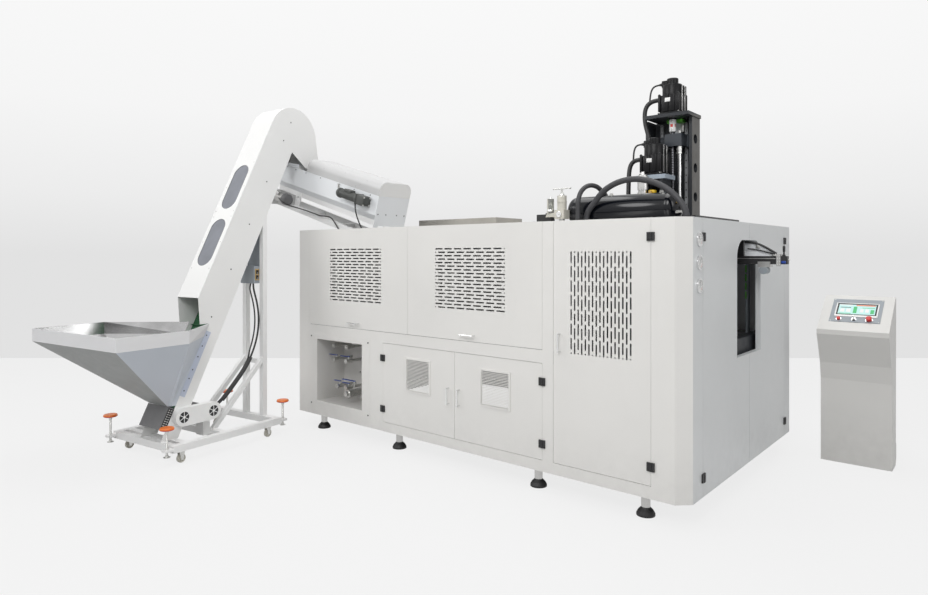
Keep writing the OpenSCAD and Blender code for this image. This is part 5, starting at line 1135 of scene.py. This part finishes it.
# floor: a wide sheet that ends square to the view, at the line where the photograph's floor ends
turnToView = Matrix.Rotation(math.radians(camera["turn"]), 4, "Z")
heading = Matrix.Translation((*camera["place"][:2], 0)) @ turnToView
clearPick()
bpy.ops.mesh.primitive_plane_add(size=1, location=(0, (stage["floorEnd"] - stage["floorNear"]) / 2, 0))
floor = bpy.context.object
floor.name = "floor"
floor.scale = (stage["floorWide"], stage["floorEnd"] + stage["floorNear"], 1)
setInMesh()
bpy.ops.object.mode_set(mode="EDIT")
bpy.ops.mesh.subdivide(number_cuts=8)
bpy.ops.object.mode_set(mode="OBJECT")
floor.matrix_world = heading
setInMesh()


# strongest of several ray kinds, from 0 to 1
def anyRay(tree, *kinds):
    rays = addNode(tree, "LightPath").outputs
    found = rays[kinds[0]]
    for kind in kinds[1:]:
        found = addNode(tree, "Math", {0: found, 1: rays[kind]}, operation="MAXIMUM").outputs[0]
    return found


# what the camera and reflections see of the floor is mostly its own pale tone, under a light shadow
floorPaint, tree, shader = startMaterial("floor_paint", stage["floorTone"], 0.75)
driftColour(tree, shader, addNoise(tree, 0.4, 3), stage["floorTone"], 0.985)
shader.inputs["Specular IOR Level"].default_value = 0.2
paleFloor = addNode(tree, "Emission", {"Color": (*(stage["seenTone"],) * 3, 1)})
paleShare = addRange(tree, anyRay(tree, "Is Camera Ray", "Is Glossy Ray"), 0, 1 - stage["shadowShare"], 0, 1)
floorMix = addNode(tree, "MixShader", {0: paleShare, 1: shader.outputs[0], 2: paleFloor.outputs[0]})
tree.links.new(floorMix.outputs[0], tree.nodes["Material Output"].inputs["Surface"])
floor.data.materials.append(floorPaint)

# world: even soft light, and for the camera and for reflections a pale sky that brightens upwards
world = bpy.data.worlds.new("studio")
bpy.context.scene.world = world
world.use_nodes = True
sky = world.node_tree
axes = addNode(sky, "SeparateXYZ", {"Vector": addNode(sky, "TexCoord").outputs["Generated"]})
skyRamp = addNode(sky, "ValToRGB", {"Fac": axes.outputs["Z"]})
skySteps = ((0.0, 0.76), (0.08, 0.84), (0.20, 0.915), (0.36, 0.945), (1.0, 0.95))
while len(skyRamp.color_ramp.elements) < len(skySteps):
    skyRamp.color_ramp.elements.new(0.5)
for element, (spot, tone) in zip(skyRamp.color_ramp.elements, skySteps):
    element.position = spot
    element.color = (tone, tone, tone, 1)
seen = sky.nodes["Background"]
sky.links.new(skyRamp.outputs["Color"], seen.inputs["Color"])
filling = addNode(sky, "Background", {"Color": (1, 1, 1, 1), "Strength": stage["fill"]})
seenShare = anyRay(sky, "Is Camera Ray", "Is Glossy Ray", "Is Transmission Ray")
skyMix = addNode(sky, "MixShader", {0: seenShare, 1: filling.outputs[0], 2: seen.outputs[0]})
sky.links.new(skyMix.outputs[0], sky.nodes["World Output"].inputs["Surface"])

for name, light in lights.items():
    aim = (Vector(light["aim"]) - Vector(light["place"])).to_track_quat("-Z", "Y").to_euler()
    bpy.ops.object.light_add(type="AREA", location=light["place"], rotation=aim)
    lamp = bpy.context.object
    lamp.name = name + "_light"
    lamp.data.shape = "DISK"
    lamp.data.size = light["size"]
    lamp.data.energy = light["power"]
bpy.context.scene.view_settings.view_transform = "Standard"
print("stage set")
